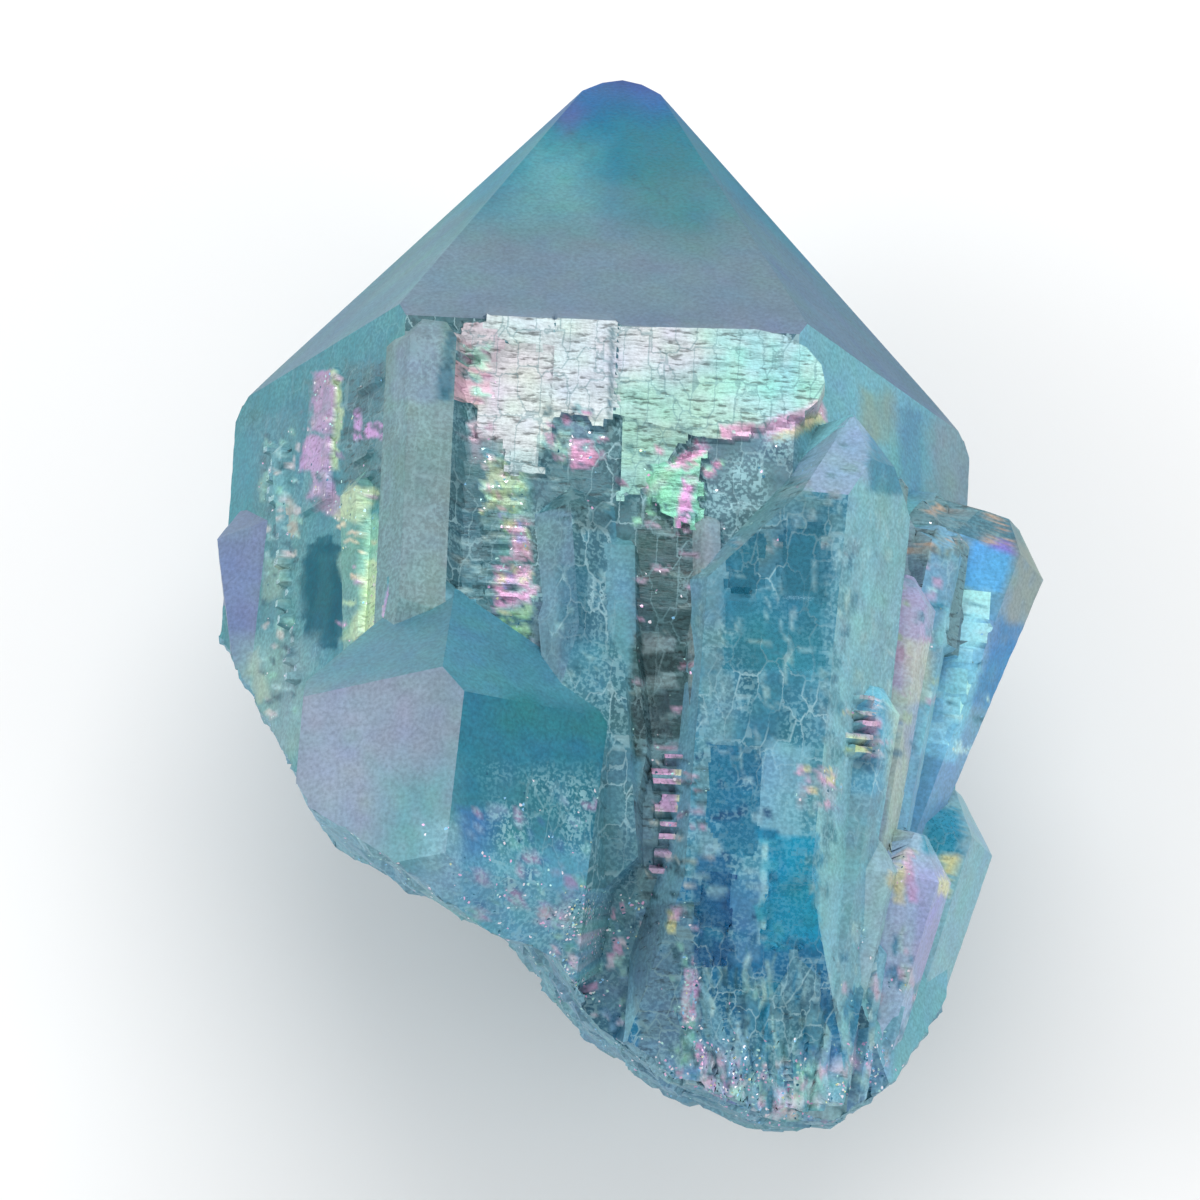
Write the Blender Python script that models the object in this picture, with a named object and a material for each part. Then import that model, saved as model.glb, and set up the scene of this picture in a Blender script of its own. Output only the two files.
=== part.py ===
"""Aura quartz point: one stout crystal with smaller crystals grown along it, broken off its rock at the root.

It lies on the flat prism face at its back, with its tip along +Y. The origin is on that face, under the long
axis. Sizes are in millimetres, and an angle round a crystal is measured from straight up towards its right
side, as seen with the tip away from the viewer.
"""

import math

import bmesh
import bpy
import numpy as np
from mathutils import Matrix, Vector

MM = 0.001
NODE = "quartz_point"

# Quartz ends in six faces that all lean this far from the long axis, whatever the size of the crystal.
TIP_LEAN = math.radians(38.2)
SIDE_ANGLES = (0, 60, 120, 180, -120, -60)

# The main crystal: from its axis to a side face, the same to the front face, and how far the tip is worn down.
HALF_WIDTH = 9.6
FRONT_HALF = 9.2
TIP_Y = 17.93
MAIN_PEAKS = ((0, 1.0), (60, 0.0), (120, 0.6), (180, 0.0), (-120, 0.6), (-60, 0.0))
TIP_WEAR = 0.72
WORN_TOP = 0.55
WORN_EDGE_ANGLE = math.radians(28)
WORN_CORNER = 0.3
WORN_CORNER_ANGLE = math.radians(38)
FRONT_Z = HALF_WIDTH + FRONT_HALF
BELOW_ROOT = -20.0

# The front slopes down to the root in two stages, given by where each starts and its angle to level.
UPPER_SLOPE = ((0.0, -3.5, FRONT_Z), 15.0)
LOWER_SLOPE = ((0.0, -10.0, 17.1), 40.0)

# The rock side: broken faces, each through a point, with the direction it faces.
BREAKS = (
    ((-9.6, -3.6, 8.0), (-0.84, -0.52, -0.16)),
    ((-9.6, -3.6, 8.0), (-0.72, -0.42, -0.55)),
    ((0.65, -13.1, 7.0), (-0.53, -0.83, -0.17)),
    ((1.6, -13.7, 7.0), (-0.40, -0.62, -0.68)),
    ((4.6, -15.1, 7.0), (-0.31, -0.93, -0.20)),
    ((6.9, -15.5, 7.5), (0.09, -0.96, -0.27)),
    ((8.5, -14.9, 7.5), (0.60, -0.77, -0.22)),
    ((9.9, -13.2, 7.5), (0.84, -0.50, -0.18)),
    ((9.6, -12.6, 6.5), (0.55, -0.45, -0.70)),
)

# The deeper break at the lower left: what lies beyond the first face and left of the second is gone.
DEEP_BREAK = (
    ((-3.9, -9.25, 8.0), (-0.38, -0.90, -0.20)),
    ((-0.95, -11.2, 7.0), (-0.78, -0.61, -0.10)),
)

# Side crystals: name, tip, root, half width, turn, taper and tip wear, and how proud of the front they may be.
SIDE_CRYSTALS = (
    ("left_corner_rib", (-5.0, 5.9, 18.2), (-4.7, -12.0, 18.0), 1.15, 4.0, 0.0, 0.15, 0.55),
    ("centre_dome", (-0.7, 0.9, 18.1), (1.3, -16.0, 18.0), 1.25, 26.0, 0.5, 0.3, 0.9),
    ("centre_rib", (0.75, -0.8, 18.3), (1.7, -16.3, 18.3), 0.7, 8.0, 0.0, 0.2, 0.5),
    ("column_rib", (3.3, -0.2, 18.5), (4.2, -16.6, 18.4), 0.5, 15.0, 0.0, 0.1, 0.4),
    ("left_bulge", (-10.0, 3.3, 9.8), (-7.7, -9.0, 10.5), 1.75, 30.0, 0.0, 0.6, 2.0),
    ("left_inner_rib", (-6.6, 1.3, 16.8), (-5.8, -9.0, 16.9), 0.8, 0.0, 0.0, 0.2, 2.0),
    ("left_outer_rib", (-9.4, 3.6, 12.4), (-7.8, -8.6, 13.6), 0.6, 0.0, 0.0, 0.2, 2.0),
    ("right_upper", (12.0, 3.3, 11.8), (8.9, -9.0, 11.2), 1.95, 8.0, 5.0, 1.0, 2.0),
    ("right_upper_rib", (10.2, 1.4, 14.3), (8.4, -11.0, 13.2), 0.85, 25.0, 0.0, 0.3, 2.0),
    ("right_lower", (10.75, -4.9, 10.3), (8.2, -17.0, 8.8), 1.95, 12.0, 4.0, 0.8, 2.0),
    ("flank_rib", (9.35, -0.7, 15.4), (7.6, -15.5, 13.2), 0.85, 10.0, 0.5, 0.2, 1.2),
    ("flank_dome", (8.45, -4.6, 17.0), (7.0, -16.0, 14.0), 0.8, 5.0, 0.0, 0.35, 1.5),
    ("capped_rib", (7.1, -7.1, 17.2), (6.5, -16.4, 14.4), 0.7, 20.0, 0.0, 0.4, 2.0),
    ("lower_flank", (10.0, -8.2, 14.4), (8.3, -16.2, 11.2), 1.25, 16.0, 3.0, 0.3, 1.5),
    ("lower_rib", (8.75, -9.0, 15.6), (7.4, -16.4, 11.8), 0.75, 22.0, 0.0, 0.2, 1.0),
    ("back_left", (-7.2, 1.2, 4.7), (-5.0, -12.0, 5.5), 2.2, 20.0, 1.0, 0.5, 2.0),
    ("back_right", (7.3, 2.0, 4.7), (4.8, -14.0, 5.6), 2.4, -14.0, 1.0, 0.5, 2.0),
)

# Two side crystals are uneven, so their sides are given one by one, as angle and distance from the tip's axis.
TALL_TIP = (7.45, 2.85, 18.8)
TALL_ROOT = (6.7, -16.5, 14.6)
TALL_SIDES = ((0, 2.2), (60, 1.2), (120, 2.25), (180, 5.0), (-120, 5.0), (-60, 4.4))
TALL_PROUD = 1.7
TALL_TAPER = 1.0
EDGE_TIP = (-2.9, -0.6, 17.2)
EDGE_ROOT = (-3.65, -15.0, 16.2)
EDGE_SIDES = ((-20, 4.9), (36, 4.2), (90, 4.2), (160, 5.0), (-90, 4.9), (-150, 5.0))
EDGE_PEAKS = ((-30, 0.0), (32, 1.1), (90, 1.1), (-90, 0.0))
EDGE_TAPER = 1.5
EDGE_BREAKS = (
    ((-3.9, -12.0, 21.4), (-0.12, -0.80, 0.58)),
    ((0.5, -12.0, 18.6), (0.42, -0.75, 0.5)),
)

# Thin growth plates on the front face, each by its corners in plan and how far it stands proud.
FRONT_PLATES = (
    (((-3.4, 5.3), (-1.42, 5.3), (-1.42, 4.46), (-3.4, 4.5)), 0.16),
    (((-1.36, 5.3), (0.45, 5.3), (0.45, 2.2), (-1.36, 2.4)), 0.20),
    (((-3.5, 4.4), (-1.3, 4.4), (-1.3, 1.2), (-3.5, 1.6)), 0.11),
    (((-2.45, 2.0), (-1.65, 2.0), (-1.65, 0.4), (-2.45, 0.5)), 0.13),
    (((-3.95, 4.85), (-3.05, 4.85), (-3.05, 4.05), (-3.8, 4.2)), 0.22),
    (((-4.0, 3.5), (-3.2, 3.5), (-3.2, 2.7), (-4.0, 2.7)), 0.15),
    (((0.7, 4.0), (3.3, 3.4), (1.9, 0.6), (0.8, -0.1)), 0.10),
    (((1.7, 0.7), (3.1, 1.3), (3.0, -1.0), (2.0, -0.6)), 0.17),
)
PLATE_DEPTH = 0.8

# The right half of the front face ends in a round: its straight corners, then centre, reach and turns of the round.
RIGHT_SLAB_CORNERS = ((0.52, 5.15), (0.52, 2.4), (3.2, 1.75), (4.35, 2.17))
RIGHT_SLAB_CENTRE = (4.35, 3.72)
RIGHT_SLAB_REACH = (2.25, 1.55)
RIGHT_SLAB_TURNS = (-46, -24, -2, 20, 42, 64, 86)
RIGHT_SLAB_PROUD = 0.16

# Shallow windows in the crystals, each by centre, size, tilt down to the root and roll to the right.
WINDOWS = (
    ((4.5, -2.2, 19.94), (0.85, 1.9, 0.5), 12.9, 0.0),
    ((6.15, -2.35, 19.92), (1.1, 2.05, 0.5), 12.9, 0.0),
    ((5.4, -4.45, 19.44), (2.7, 1.95, 0.5), 12.9, 0.0),
    ((4.55, -9.1, 18.35), (1.5, 3.1, 0.5), 12.9, 0.0),
    ((4.15, -12.2, 17.04), (0.85, 3.0, 0.5), 40.0, 0.0),
    ((6.35, -11.95, 17.25), (1.35, 2.4, 0.5), 40.0, 0.0),
    ((6.42, -13.6, 15.85), (0.45, 1.2, 0.5), 40.0, 0.0),
    ((-8.0, -1.9, 14.5), (1.7, 3.0, 0.6), 0.0, -60.0),
)

# Ledges and beads in rows: name, first, last, count, size, tilt down to the root, roll to the right.
ROWS = (
    ("column_rung", (2.7, -7.7, 17.72), (2.8, -9.9, 17.14), 7, (1.1, 0.16, 0.5), 15.0, 0.0),
    ("column_step", (2.82, -10.3, 16.9), (2.9, -12.0, 15.5), 5, (1.0, 0.16, 0.5), 40.0, 0.0),
    ("ladder_rung", (11.25, -0.9, 13.4), (9.9, -5.6, 12.95), 8, (0.95, 0.34, 0.5), 8.0, -38.0),
    ("left_ledge", (-6.75, 4.3, 17.1), (-6.75, 0.7, 17.1), 9, (1.7, 0.18, 0.4), 0.0, -60.0),
    ("front_ledge", (-2.55, -0.1, 18.78), (-2.4, -3.3, 18.78), 9, (1.6, 0.17, 0.36), 0.0, 0.0),
    ("pink_plate", (-8.2, 2.75, 14.6), (-8.2, 2.75, 14.6), 1, (1.5, 4.2, 0.5), 0.0, -60.0),
    ("left_bead", (-9.85, 3.7, 11.75), (-8.5, -4.6, 14.1), 14, (0.34, 0.36, 0.5), 0.0, -60.0),
    ("dome_rung", (8.3, -5.6, 17.65), (8.05, -7.1, 17.4), 5, (0.8, 0.16, 0.5), 12.0, 8.0),
)

# Broken lumps along the lower left edge and at the root, scattered with a fixed seed.
DEEP_RUBBLE = (((-6.0, -9.6, 12.0), (-3.5, -11.0, 13.0), (-0.9, -12.0, 13.0)), 26)
ROOT_RUBBLE = (((-0.3, -12.8, 12.0), (2.2, -14.6, 12.0), (4.8, -16.0, 11.0), (8.0, -15.8, 10.0)), 44)
RUBBLE_SPREAD = 2.4
RUBBLE_SIZES = (0.35, 0.85)
RUBBLE_DEPTH = 0.4
GRAIN_SIDE = (0.6, 0.9)
GRAIN_CORNER = (0.75, 1.0)
SEED = 11

# Every solid is cut from a cube this large, which holds the whole piece.
START_CUBE = 90.0


def unit(vector):
    """The same direction with length one."""
    return Vector(vector).normalized()


def crystal(tip, root, sides, peaks=None, taper=0.0, wear=0.0):
    """The planes of one crystal, each as (point, outward direction).

    A side is (angle, distance from the axis level with the tip), and leans in towards the root by the taper.
    A peak face is (angle, drop): it crosses the axis that far below the tip. Wear takes off the sharp end.
    """
    tip = Vector(tip)
    axis = unit(tip - Vector(root))
    up = unit(Vector((0.0, 0.0, 1.0)) - axis * axis.z)
    right = axis.cross(up)
    lean_in = math.radians(taper)
    planes = []
    for angle, distance in sides:
        out = up * math.cos(math.radians(angle)) + right * math.sin(math.radians(angle))
        planes.append((tip + out * distance, out * math.cos(lean_in) - axis * math.sin(lean_in)))
    for angle, drop in peaks or [(angle, 0.0) for angle, distance in sides]:
        out = up * math.cos(math.radians(angle)) + right * math.sin(math.radians(angle))
        planes.append((tip - axis * drop, out * math.cos(TIP_LEAN) + axis * math.sin(TIP_LEAN)))
    if wear:
        planes.append((tip - axis * wear, axis))
    planes.append((Vector(root), -axis))
    return planes


def hexagon(half_width, turn=0.0):
    """Six equal sides."""
    return [(angle + turn, half_width) for angle in SIDE_ANGLES]


def front_slopes(proud):
    """The two planes that run down the front to the root, raised by a height."""
    planes = []
    for start, angle in (UPPER_SLOPE, LOWER_SLOPE):
        out = Vector((0.0, -math.sin(math.radians(angle)), math.cos(math.radians(angle))))
        planes.append((Vector(start) + Vector((0.0, 0.0, proud)), out))
    return planes


def plate(corners, low, high):
    """A flat plate: its corners in plan, in order, and the heights of its faces."""
    planes = [(Vector((0.0, 0.0, low)), Vector((0.0, 0.0, -1.0))),
              (Vector((0.0, 0.0, high)), Vector((0.0, 0.0, 1.0)))]
    middle = Vector(np.mean(corners, axis=0))
    for start, end in zip(corners, corners[1:] + corners[:1]):
        start, end = Vector(start), Vector(end)
        out = Vector((end.y - start.y, start.x - end.x)).normalized()
        if out.dot(start - middle) < 0.0:
            out = -out
        planes.append((Vector((*start, 0.0)), Vector((*out, 0.0))))
    return planes


def block(centre, size, tilt=0.0, roll=0.0, turn=0.0):
    """A box: tilt runs its length down towards the root, roll leans it to the right, turn is seen from above."""
    frame = (Matrix.Rotation(math.radians(turn), 3, "Z") @ Matrix.Rotation(math.radians(roll), 3, "Y")
             @ Matrix.Rotation(math.radians(tilt), 3, "X"))
    planes = []
    for way in range(3):
        for side in (-1, 1):
            direction = frame.col[way] * side
            planes.append((Vector(centre) + direction * size[way] / 2, direction))
    return planes


def row_of_blocks(first, last, count, size, tilt, roll):
    """Blocks spaced evenly from one place to another."""
    first, last = Vector(first), Vector(last)
    return [block(first.lerp(last, step / max(1, count - 1)), size, tilt, roll) for step in range(count)]


def lump(centre, radius, rng):
    """A broken grain: a small box turned at random, with its eight corners knocked off."""
    ways = [unit(way) for way in rng.normal(size=(2, 3))]
    first = ways[0]
    second = unit(first.cross(ways[1]))
    third = first.cross(second)
    planes = []
    for a in (-1, 1):
        for axis in (first, second, third):
            planes.append((Vector(centre) + axis * a * radius * rng.uniform(*GRAIN_SIDE), axis * a))
        for b in (-1, 1):
            for c in (-1, 1):
                corner = unit(first * a + second * b + third * c)
                planes.append((Vector(centre) + corner * radius * rng.uniform(*GRAIN_CORNER), corner))
    return planes


def solid_object(name, planes):
    """The convex solid inside all the planes, cut from a large cube one plane at a time."""
    shape = bmesh.new()
    bmesh.ops.create_cube(shape, size=START_CUBE * MM)
    for point, direction in planes:
        parts = shape.verts[:] + shape.edges[:] + shape.faces[:]
        cut = bmesh.ops.bisect_plane(shape, geom=parts, dist=1e-8, plane_co=Vector(point) * MM,
                                     plane_no=direction, clear_outer=True)
        rim = [item for item in cut["geom_cut"] if isinstance(item, bmesh.types.BMEdge)]
        if len(rim) > 2:
            bmesh.ops.contextual_create(shape, geom=rim)
    bmesh.ops.remove_doubles(shape, verts=shape.verts, dist=1e-6)
    bmesh.ops.recalc_face_normals(shape, faces=shape.faces)
    mesh = bpy.data.meshes.new(name)
    shape.to_mesh(mesh)
    shape.free()
    return bpy.data.objects.new(name, mesh)


def add_operand(collection, name, planes):
    """A hidden solid that the main crystal is joined to or cut by."""
    operand = solid_object(name, planes)
    collection.objects.link(operand)
    operand.hide_render = True
    operand.display_type = "WIRE"


def main_planes():
    """The main crystal, worn at the tip and at the two side corners, broken at the root."""
    sides = hexagon(HALF_WIDTH)
    sides[0] = (0, FRONT_HALF)
    tip, root = (0.0, TIP_Y, HALF_WIDTH), (0.0, BELOW_ROOT, HALF_WIDTH)
    planes = crystal(tip, root, sides, MAIN_PEAKS, wear=TIP_WEAR)
    for angle in SIDE_ANGLES:
        out = Vector((math.sin(math.radians(angle)), 0.0, math.cos(math.radians(angle))))
        round_off = out * math.sin(WORN_EDGE_ANGLE) + Vector((0.0, math.cos(WORN_EDGE_ANGLE), 0.0))
        planes.append((Vector((0.0, TIP_Y - TIP_WEAR, HALF_WIDTH)) + out * WORN_TOP, round_off))
    corner = HALF_WIDTH / math.cos(math.radians(30))
    for side in (-1, 1):
        worn = Vector((side * math.cos(WORN_CORNER_ANGLE), math.sin(WORN_CORNER_ANGLE), 0.0))
        shoulder = Vector((side * corner, TIP_Y - HALF_WIDTH / math.tan(TIP_LEAN), HALF_WIDTH))
        planes.append((shoulder - worn * WORN_CORNER, worn))
    return planes + front_slopes(0.0)


def facing(faces, side=1.0):
    """Planes from a list of faces, each a point and the direction it faces, or the opposite for side -1."""
    return [(Vector(point), unit(direction) * side) for point, direction in faces]


def seated(place, planes, depth):
    """A place moved in until it is at least the depth inside every plane."""
    place = Vector(place)
    for point, direction in planes * 2:
        place -= direction * max(0.0, direction.dot(place - point) + depth)
    return place


def right_slab():
    """The right half of the silvery front face, whose outer end is round."""
    corners = list(RIGHT_SLAB_CORNERS)
    for angle in RIGHT_SLAB_TURNS:
        across = RIGHT_SLAB_REACH[0] * math.cos(math.radians(angle))
        along = RIGHT_SLAB_REACH[1] * math.sin(math.radians(angle))
        corners.append((RIGHT_SLAB_CENTRE[0] + across, RIGHT_SLAB_CENTRE[1] + along))
    return plate(corners, FRONT_Z - PLATE_DEPTH, FRONT_Z + RIGHT_SLAB_PROUD)


def grown_parts():
    """Everything that is fused to the main crystal, as (name, planes)."""
    parts = []
    for name, tip, root, half_width, turn, taper, wear, proud in SIDE_CRYSTALS:
        planes = crystal(tip, root, hexagon(half_width, turn), taper=taper, wear=wear) + front_slopes(proud)
        parts.append((name, planes))
    tall = crystal(TALL_TIP, TALL_ROOT, TALL_SIDES, taper=TALL_TAPER) + front_slopes(TALL_PROUD)
    parts.append(("tall_right", tall))
    edge_on = crystal(EDGE_TIP, EDGE_ROOT, EDGE_SIDES, EDGE_PEAKS, taper=EDGE_TAPER)
    parts.append(("lower_left", edge_on + facing(EDGE_BREAKS)))
    for number, (corners, proud) in enumerate(FRONT_PLATES):
        parts.append((f"front_plate_{number}", plate(corners, FRONT_Z - PLATE_DEPTH, FRONT_Z + proud)))
    parts.append(("right_slab", right_slab()))
    for name, *row in ROWS:
        for number, planes in enumerate(row_of_blocks(*row)):
            parts.append((f"{name}_{number}", planes))
    return parts


def rubble(path, count, body, seed):
    """Broken grains scattered along a path, each sunk a little into the body."""
    rng = np.random.default_rng(seed)
    stops = len(path) - 1
    parts = []
    for number in range(count):
        along = rng.uniform(0.0, stops - 1e-6)
        start = Vector(path[int(along)])
        place = start.lerp(Vector(path[int(along) + 1]), along - int(along))
        place.z += rng.uniform(-RUBBLE_SPREAD, RUBBLE_SPREAD)
        radius = rng.uniform(*RUBBLE_SIZES)
        grain = lump(seated(place, body, radius * RUBBLE_DEPTH), radius, rng)
        parts.append((f"rubble_{seed}_{number}", grain))
    return parts


def all_rubble():
    """The grains in the deep break and those at the root."""
    body = main_planes() + facing(BREAKS)
    return rubble(*DEEP_RUBBLE, body + facing(DEEP_BREAK[:1]), SEED) + rubble(*ROOT_RUBBLE, body, SEED + 1)


def quartz_material():
    """Clear quartz under a thin metal film, which makes it blue and silvery."""
    material = bpy.data.materials.new("aura_quartz")
    material.use_nodes = True
    shader = material.node_tree.nodes["Principled BSDF"]
    shader.inputs["Base Color"].default_value = (0.16, 0.38, 0.47, 1.0)
    shader.inputs["Roughness"].default_value = 0.25
    shader.inputs["Metallic"].default_value = 0.0
    shader.inputs["IOR"].default_value = 1.54
    shader.inputs["Transmission Weight"].default_value = 0.5
    return material


def clear_scene():
    """An empty scene to build in."""
    for item in list(bpy.data.objects):
        bpy.data.objects.remove(item, do_unlink=True)


def build():
    """The one solid: crystals fused, the root broken off, broken grains added and the windows cut."""
    clear_scene()
    point = solid_object(NODE, main_planes())
    bpy.context.scene.collection.objects.link(point)
    point.data.materials.append(quartz_material())
    rock_side = [("rock_side", facing(BREAKS))]
    deep_break = [("deep_break", facing(DEEP_BREAK, -1.0))]
    windows = [(f"window_{number}", block(*window)) for number, window in enumerate(WINDOWS)]
    steps = (("fuse", "UNION", grown_parts()), ("break_off", "INTERSECT", rock_side),
             ("break_deeper", "DIFFERENCE", deep_break), ("rubble", "UNION", all_rubble()),
             ("cut", "DIFFERENCE", windows))
    for label, operation, parts in steps:
        collection = bpy.data.collections.new(label)
        bpy.context.scene.collection.children.link(collection)
        for name, planes in parts:
            add_operand(collection, name, planes)
        modifier = point.modifiers.new(label, "BOOLEAN")
        modifier.operation = operation
        modifier.operand_type = "COLLECTION"
        modifier.collection = collection
        modifier.solver = "EXACT"
    return point


build()
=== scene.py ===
"""An aura quartz point: one stout quartz crystal, small crystals grown along it, under a thin metal film.

All shapes are worked out in millimetres in the frame of the solid model: +Y runs along the crystal to its tip,
+Z is up from the flat face that it lies on, and +X is to the right as seen from the root.
"""

import math

import bpy
import numpy as np
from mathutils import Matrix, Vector


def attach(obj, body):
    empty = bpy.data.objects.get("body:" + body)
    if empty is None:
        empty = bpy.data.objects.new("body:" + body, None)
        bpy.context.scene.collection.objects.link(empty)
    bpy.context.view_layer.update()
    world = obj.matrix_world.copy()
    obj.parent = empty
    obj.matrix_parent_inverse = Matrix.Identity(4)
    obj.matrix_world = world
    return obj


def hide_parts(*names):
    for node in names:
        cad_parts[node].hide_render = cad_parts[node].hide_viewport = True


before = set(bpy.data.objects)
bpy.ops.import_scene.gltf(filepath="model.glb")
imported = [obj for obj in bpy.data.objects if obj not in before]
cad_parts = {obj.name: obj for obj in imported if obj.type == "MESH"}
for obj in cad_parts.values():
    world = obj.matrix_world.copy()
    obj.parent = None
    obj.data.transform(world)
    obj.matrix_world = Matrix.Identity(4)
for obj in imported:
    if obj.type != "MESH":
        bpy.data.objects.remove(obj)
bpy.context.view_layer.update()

# The camera: a long lens that looks down at the crystal, which lies with its tip away from it. It comes first
# because the root ribs and the film's marks are placed by where they are in the picture.
MM = 0.001
LENS, SENSOR = 300.0, 36.0
CAMERA_TURN, CAMERA_HEIGHT = math.radians(3), math.radians(70)
CAMERA_AIM = np.array((0.2, 0.0, 9.6))
CAMERA_AWAY = 300.0
CLIP_METRES = (0.01, 10.0)
PICTURE_SIDE = 1200

camera_right = np.array((math.cos(CAMERA_TURN), math.sin(CAMERA_TURN), 0.0))
camera_back = np.array((math.sin(CAMERA_TURN) * math.cos(CAMERA_HEIGHT),
                        -math.cos(CAMERA_TURN) * math.cos(CAMERA_HEIGHT), math.sin(CAMERA_HEIGHT)))
camera_up = np.cross(camera_back, camera_right)


def metres(place):
    """A place in millimetres as a Blender vector in metres."""
    return Vector(np.asarray(place, float) * MM)


def aimed(kind, data, place, aim):
    """An object at a place that looks at another, both in millimetres."""
    made = bpy.data.objects.new(kind, data)
    bpy.context.scene.collection.objects.link(made)
    made.location = metres(place)
    made.rotation_euler = (metres(aim) - metres(place)).to_track_quat("-Z", "Y").to_euler()
    return made


lens = bpy.data.cameras.new("camera")
lens.lens, lens.sensor_width = LENS, SENSOR
lens.clip_start, lens.clip_end = CLIP_METRES
bpy.context.scene.camera = aimed("camera", lens, CAMERA_AIM + camera_back * CAMERA_AWAY, CAMERA_AIM)

# The main crystal: a six-sided prism of clear quartz with six tip faces, grown in water along one axis.
# Its tip and shoulders are worn a little, and it was broken off its rock at the root. Each crystal here is a
# convex solid, kept as an array of planes: rows of a direction that faces out, and its distance from the origin.

# Every tip face of quartz leans 38.2 degrees from the long axis. A peak has a tip face's angle round the axis and
# its drop below the tip, and a slope down the front has its start and its angle to level.
TIP_LEAN = math.radians(38.2)
SIDE_ANGLES = (0, 60, 120, 180, -120, -60)
HALF_WIDTH = 9.6
FRONT_HALF = 9.2
FRONT_Z = HALF_WIDTH + FRONT_HALF
TIP_Y = 17.93
PAST_ROOT_Y = -20.0
TIP_WEAR = 0.72
WORN_TOP = 0.55
WORN_EDGE_ANGLE = math.radians(28)
WORN_CORNER = 0.3
WORN_CORNER_ANGLE = math.radians(38)
MAIN_PEAKS = ((0, 1.0), (60, 0.0), (120, 0.6), (180, 0.0), (-120, 0.6), (-60, 0.0))
UPPER_SLOPE = ((0.0, -3.5, FRONT_Z), 15.0)
LOWER_SLOPE = ((0.0, -10.0, 17.1), 40.0)


def unit(rows):
    """Each row divided by its length."""
    rows = np.asarray(rows, float)
    return rows / np.linalg.norm(rows, axis=-1, keepdims=True)


def facing(faces, side=1.0):
    """Planes from (point, direction) pairs: the direction with length one, and direction dot point."""
    points, outs = (np.array([face[part] for face in faces], float) for part in (0, 1))
    outs = unit(outs) * side
    return np.column_stack([outs, np.sum(outs * points, axis=1)])


def front_slopes(proud):
    """The two planes down the front to the root: each is its start raised by proud, facing (0, -sin a, cos a)."""
    slopes = []
    for start, angle in (UPPER_SLOPE, LOWER_SLOPE):
        turn = math.radians(angle)
        slopes.append((np.add(start, (0, 0, proud)), (0.0, -math.sin(turn), math.cos(turn))))
    return facing(slopes)


def crystal(tip, root, sides, peaks=None, taper=0.0, wear=0.0):
    """A crystal's planes. A side at angle a faces out = up cos a + right sin a, leaning in by the taper, at its
    distance from the axis. A peak face crosses the axis at its drop below the tip and faces
    out cos 38.2 + axis sin 38.2. The last planes are the worn tip and the root."""
    tip, root = np.array(tip, float), np.array(root, float)
    axis = unit(tip - root)
    up = unit(np.array((0.0, 0.0, 1.0)) - axis * axis[2])
    right = np.cross(axis, up)
    lean_in = math.radians(taper)
    faces = []
    for angle, distance in sides:
        out = up * math.cos(math.radians(angle)) + right * math.sin(math.radians(angle))
        faces.append((tip + out * distance, out * math.cos(lean_in) - axis * math.sin(lean_in)))
    for angle, drop in peaks or [(angle, 0.0) for angle, distance in sides]:
        out = up * math.cos(math.radians(angle)) + right * math.sin(math.radians(angle))
        faces.append((tip - axis * drop, out * math.cos(TIP_LEAN) + axis * math.sin(TIP_LEAN)))
    if wear:
        faces.append((tip - axis * wear, axis))
    faces.append((root, -axis))
    return facing(faces)


def hexagon(half_width, turn=0.0):
    """Six equal sides."""
    return [(angle + turn, half_width) for angle in SIDE_ANGLES]


def main_crystal():
    """The large crystal, with the bevels worn round its tip and on its two side shoulders."""
    sides = hexagon(HALF_WIDTH)
    sides[0] = (0, FRONT_HALF)
    tip, root = (0, TIP_Y, HALF_WIDTH), (0, PAST_ROOT_Y, HALF_WIDTH)
    planes = crystal(tip, root, sides, MAIN_PEAKS, wear=TIP_WEAR)
    worn = []
    for angle in SIDE_ANGLES:
        out = np.array((math.sin(math.radians(angle)), 0.0, math.cos(math.radians(angle))))
        bevel = out * math.sin(WORN_EDGE_ANGLE) + np.array((0, math.cos(WORN_EDGE_ANGLE), 0))
        worn.append((np.array((0, TIP_Y - TIP_WEAR, HALF_WIDTH)) + out * WORN_TOP, bevel))
    corner = HALF_WIDTH / math.cos(math.radians(30))
    for side in (-1, 1):
        bevel = np.array((side * math.cos(WORN_CORNER_ANGLE), math.sin(WORN_CORNER_ANGLE), 0.0))
        shoulder = np.array((side * corner, TIP_Y - HALF_WIDTH / math.tan(TIP_LEAN), HALF_WIDTH))
        worn.append((shoulder - bevel * WORN_CORNER, bevel))
    return np.vstack([planes, facing(worn), front_slopes(0.0)])


grown = [("main", main_crystal())]

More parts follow.
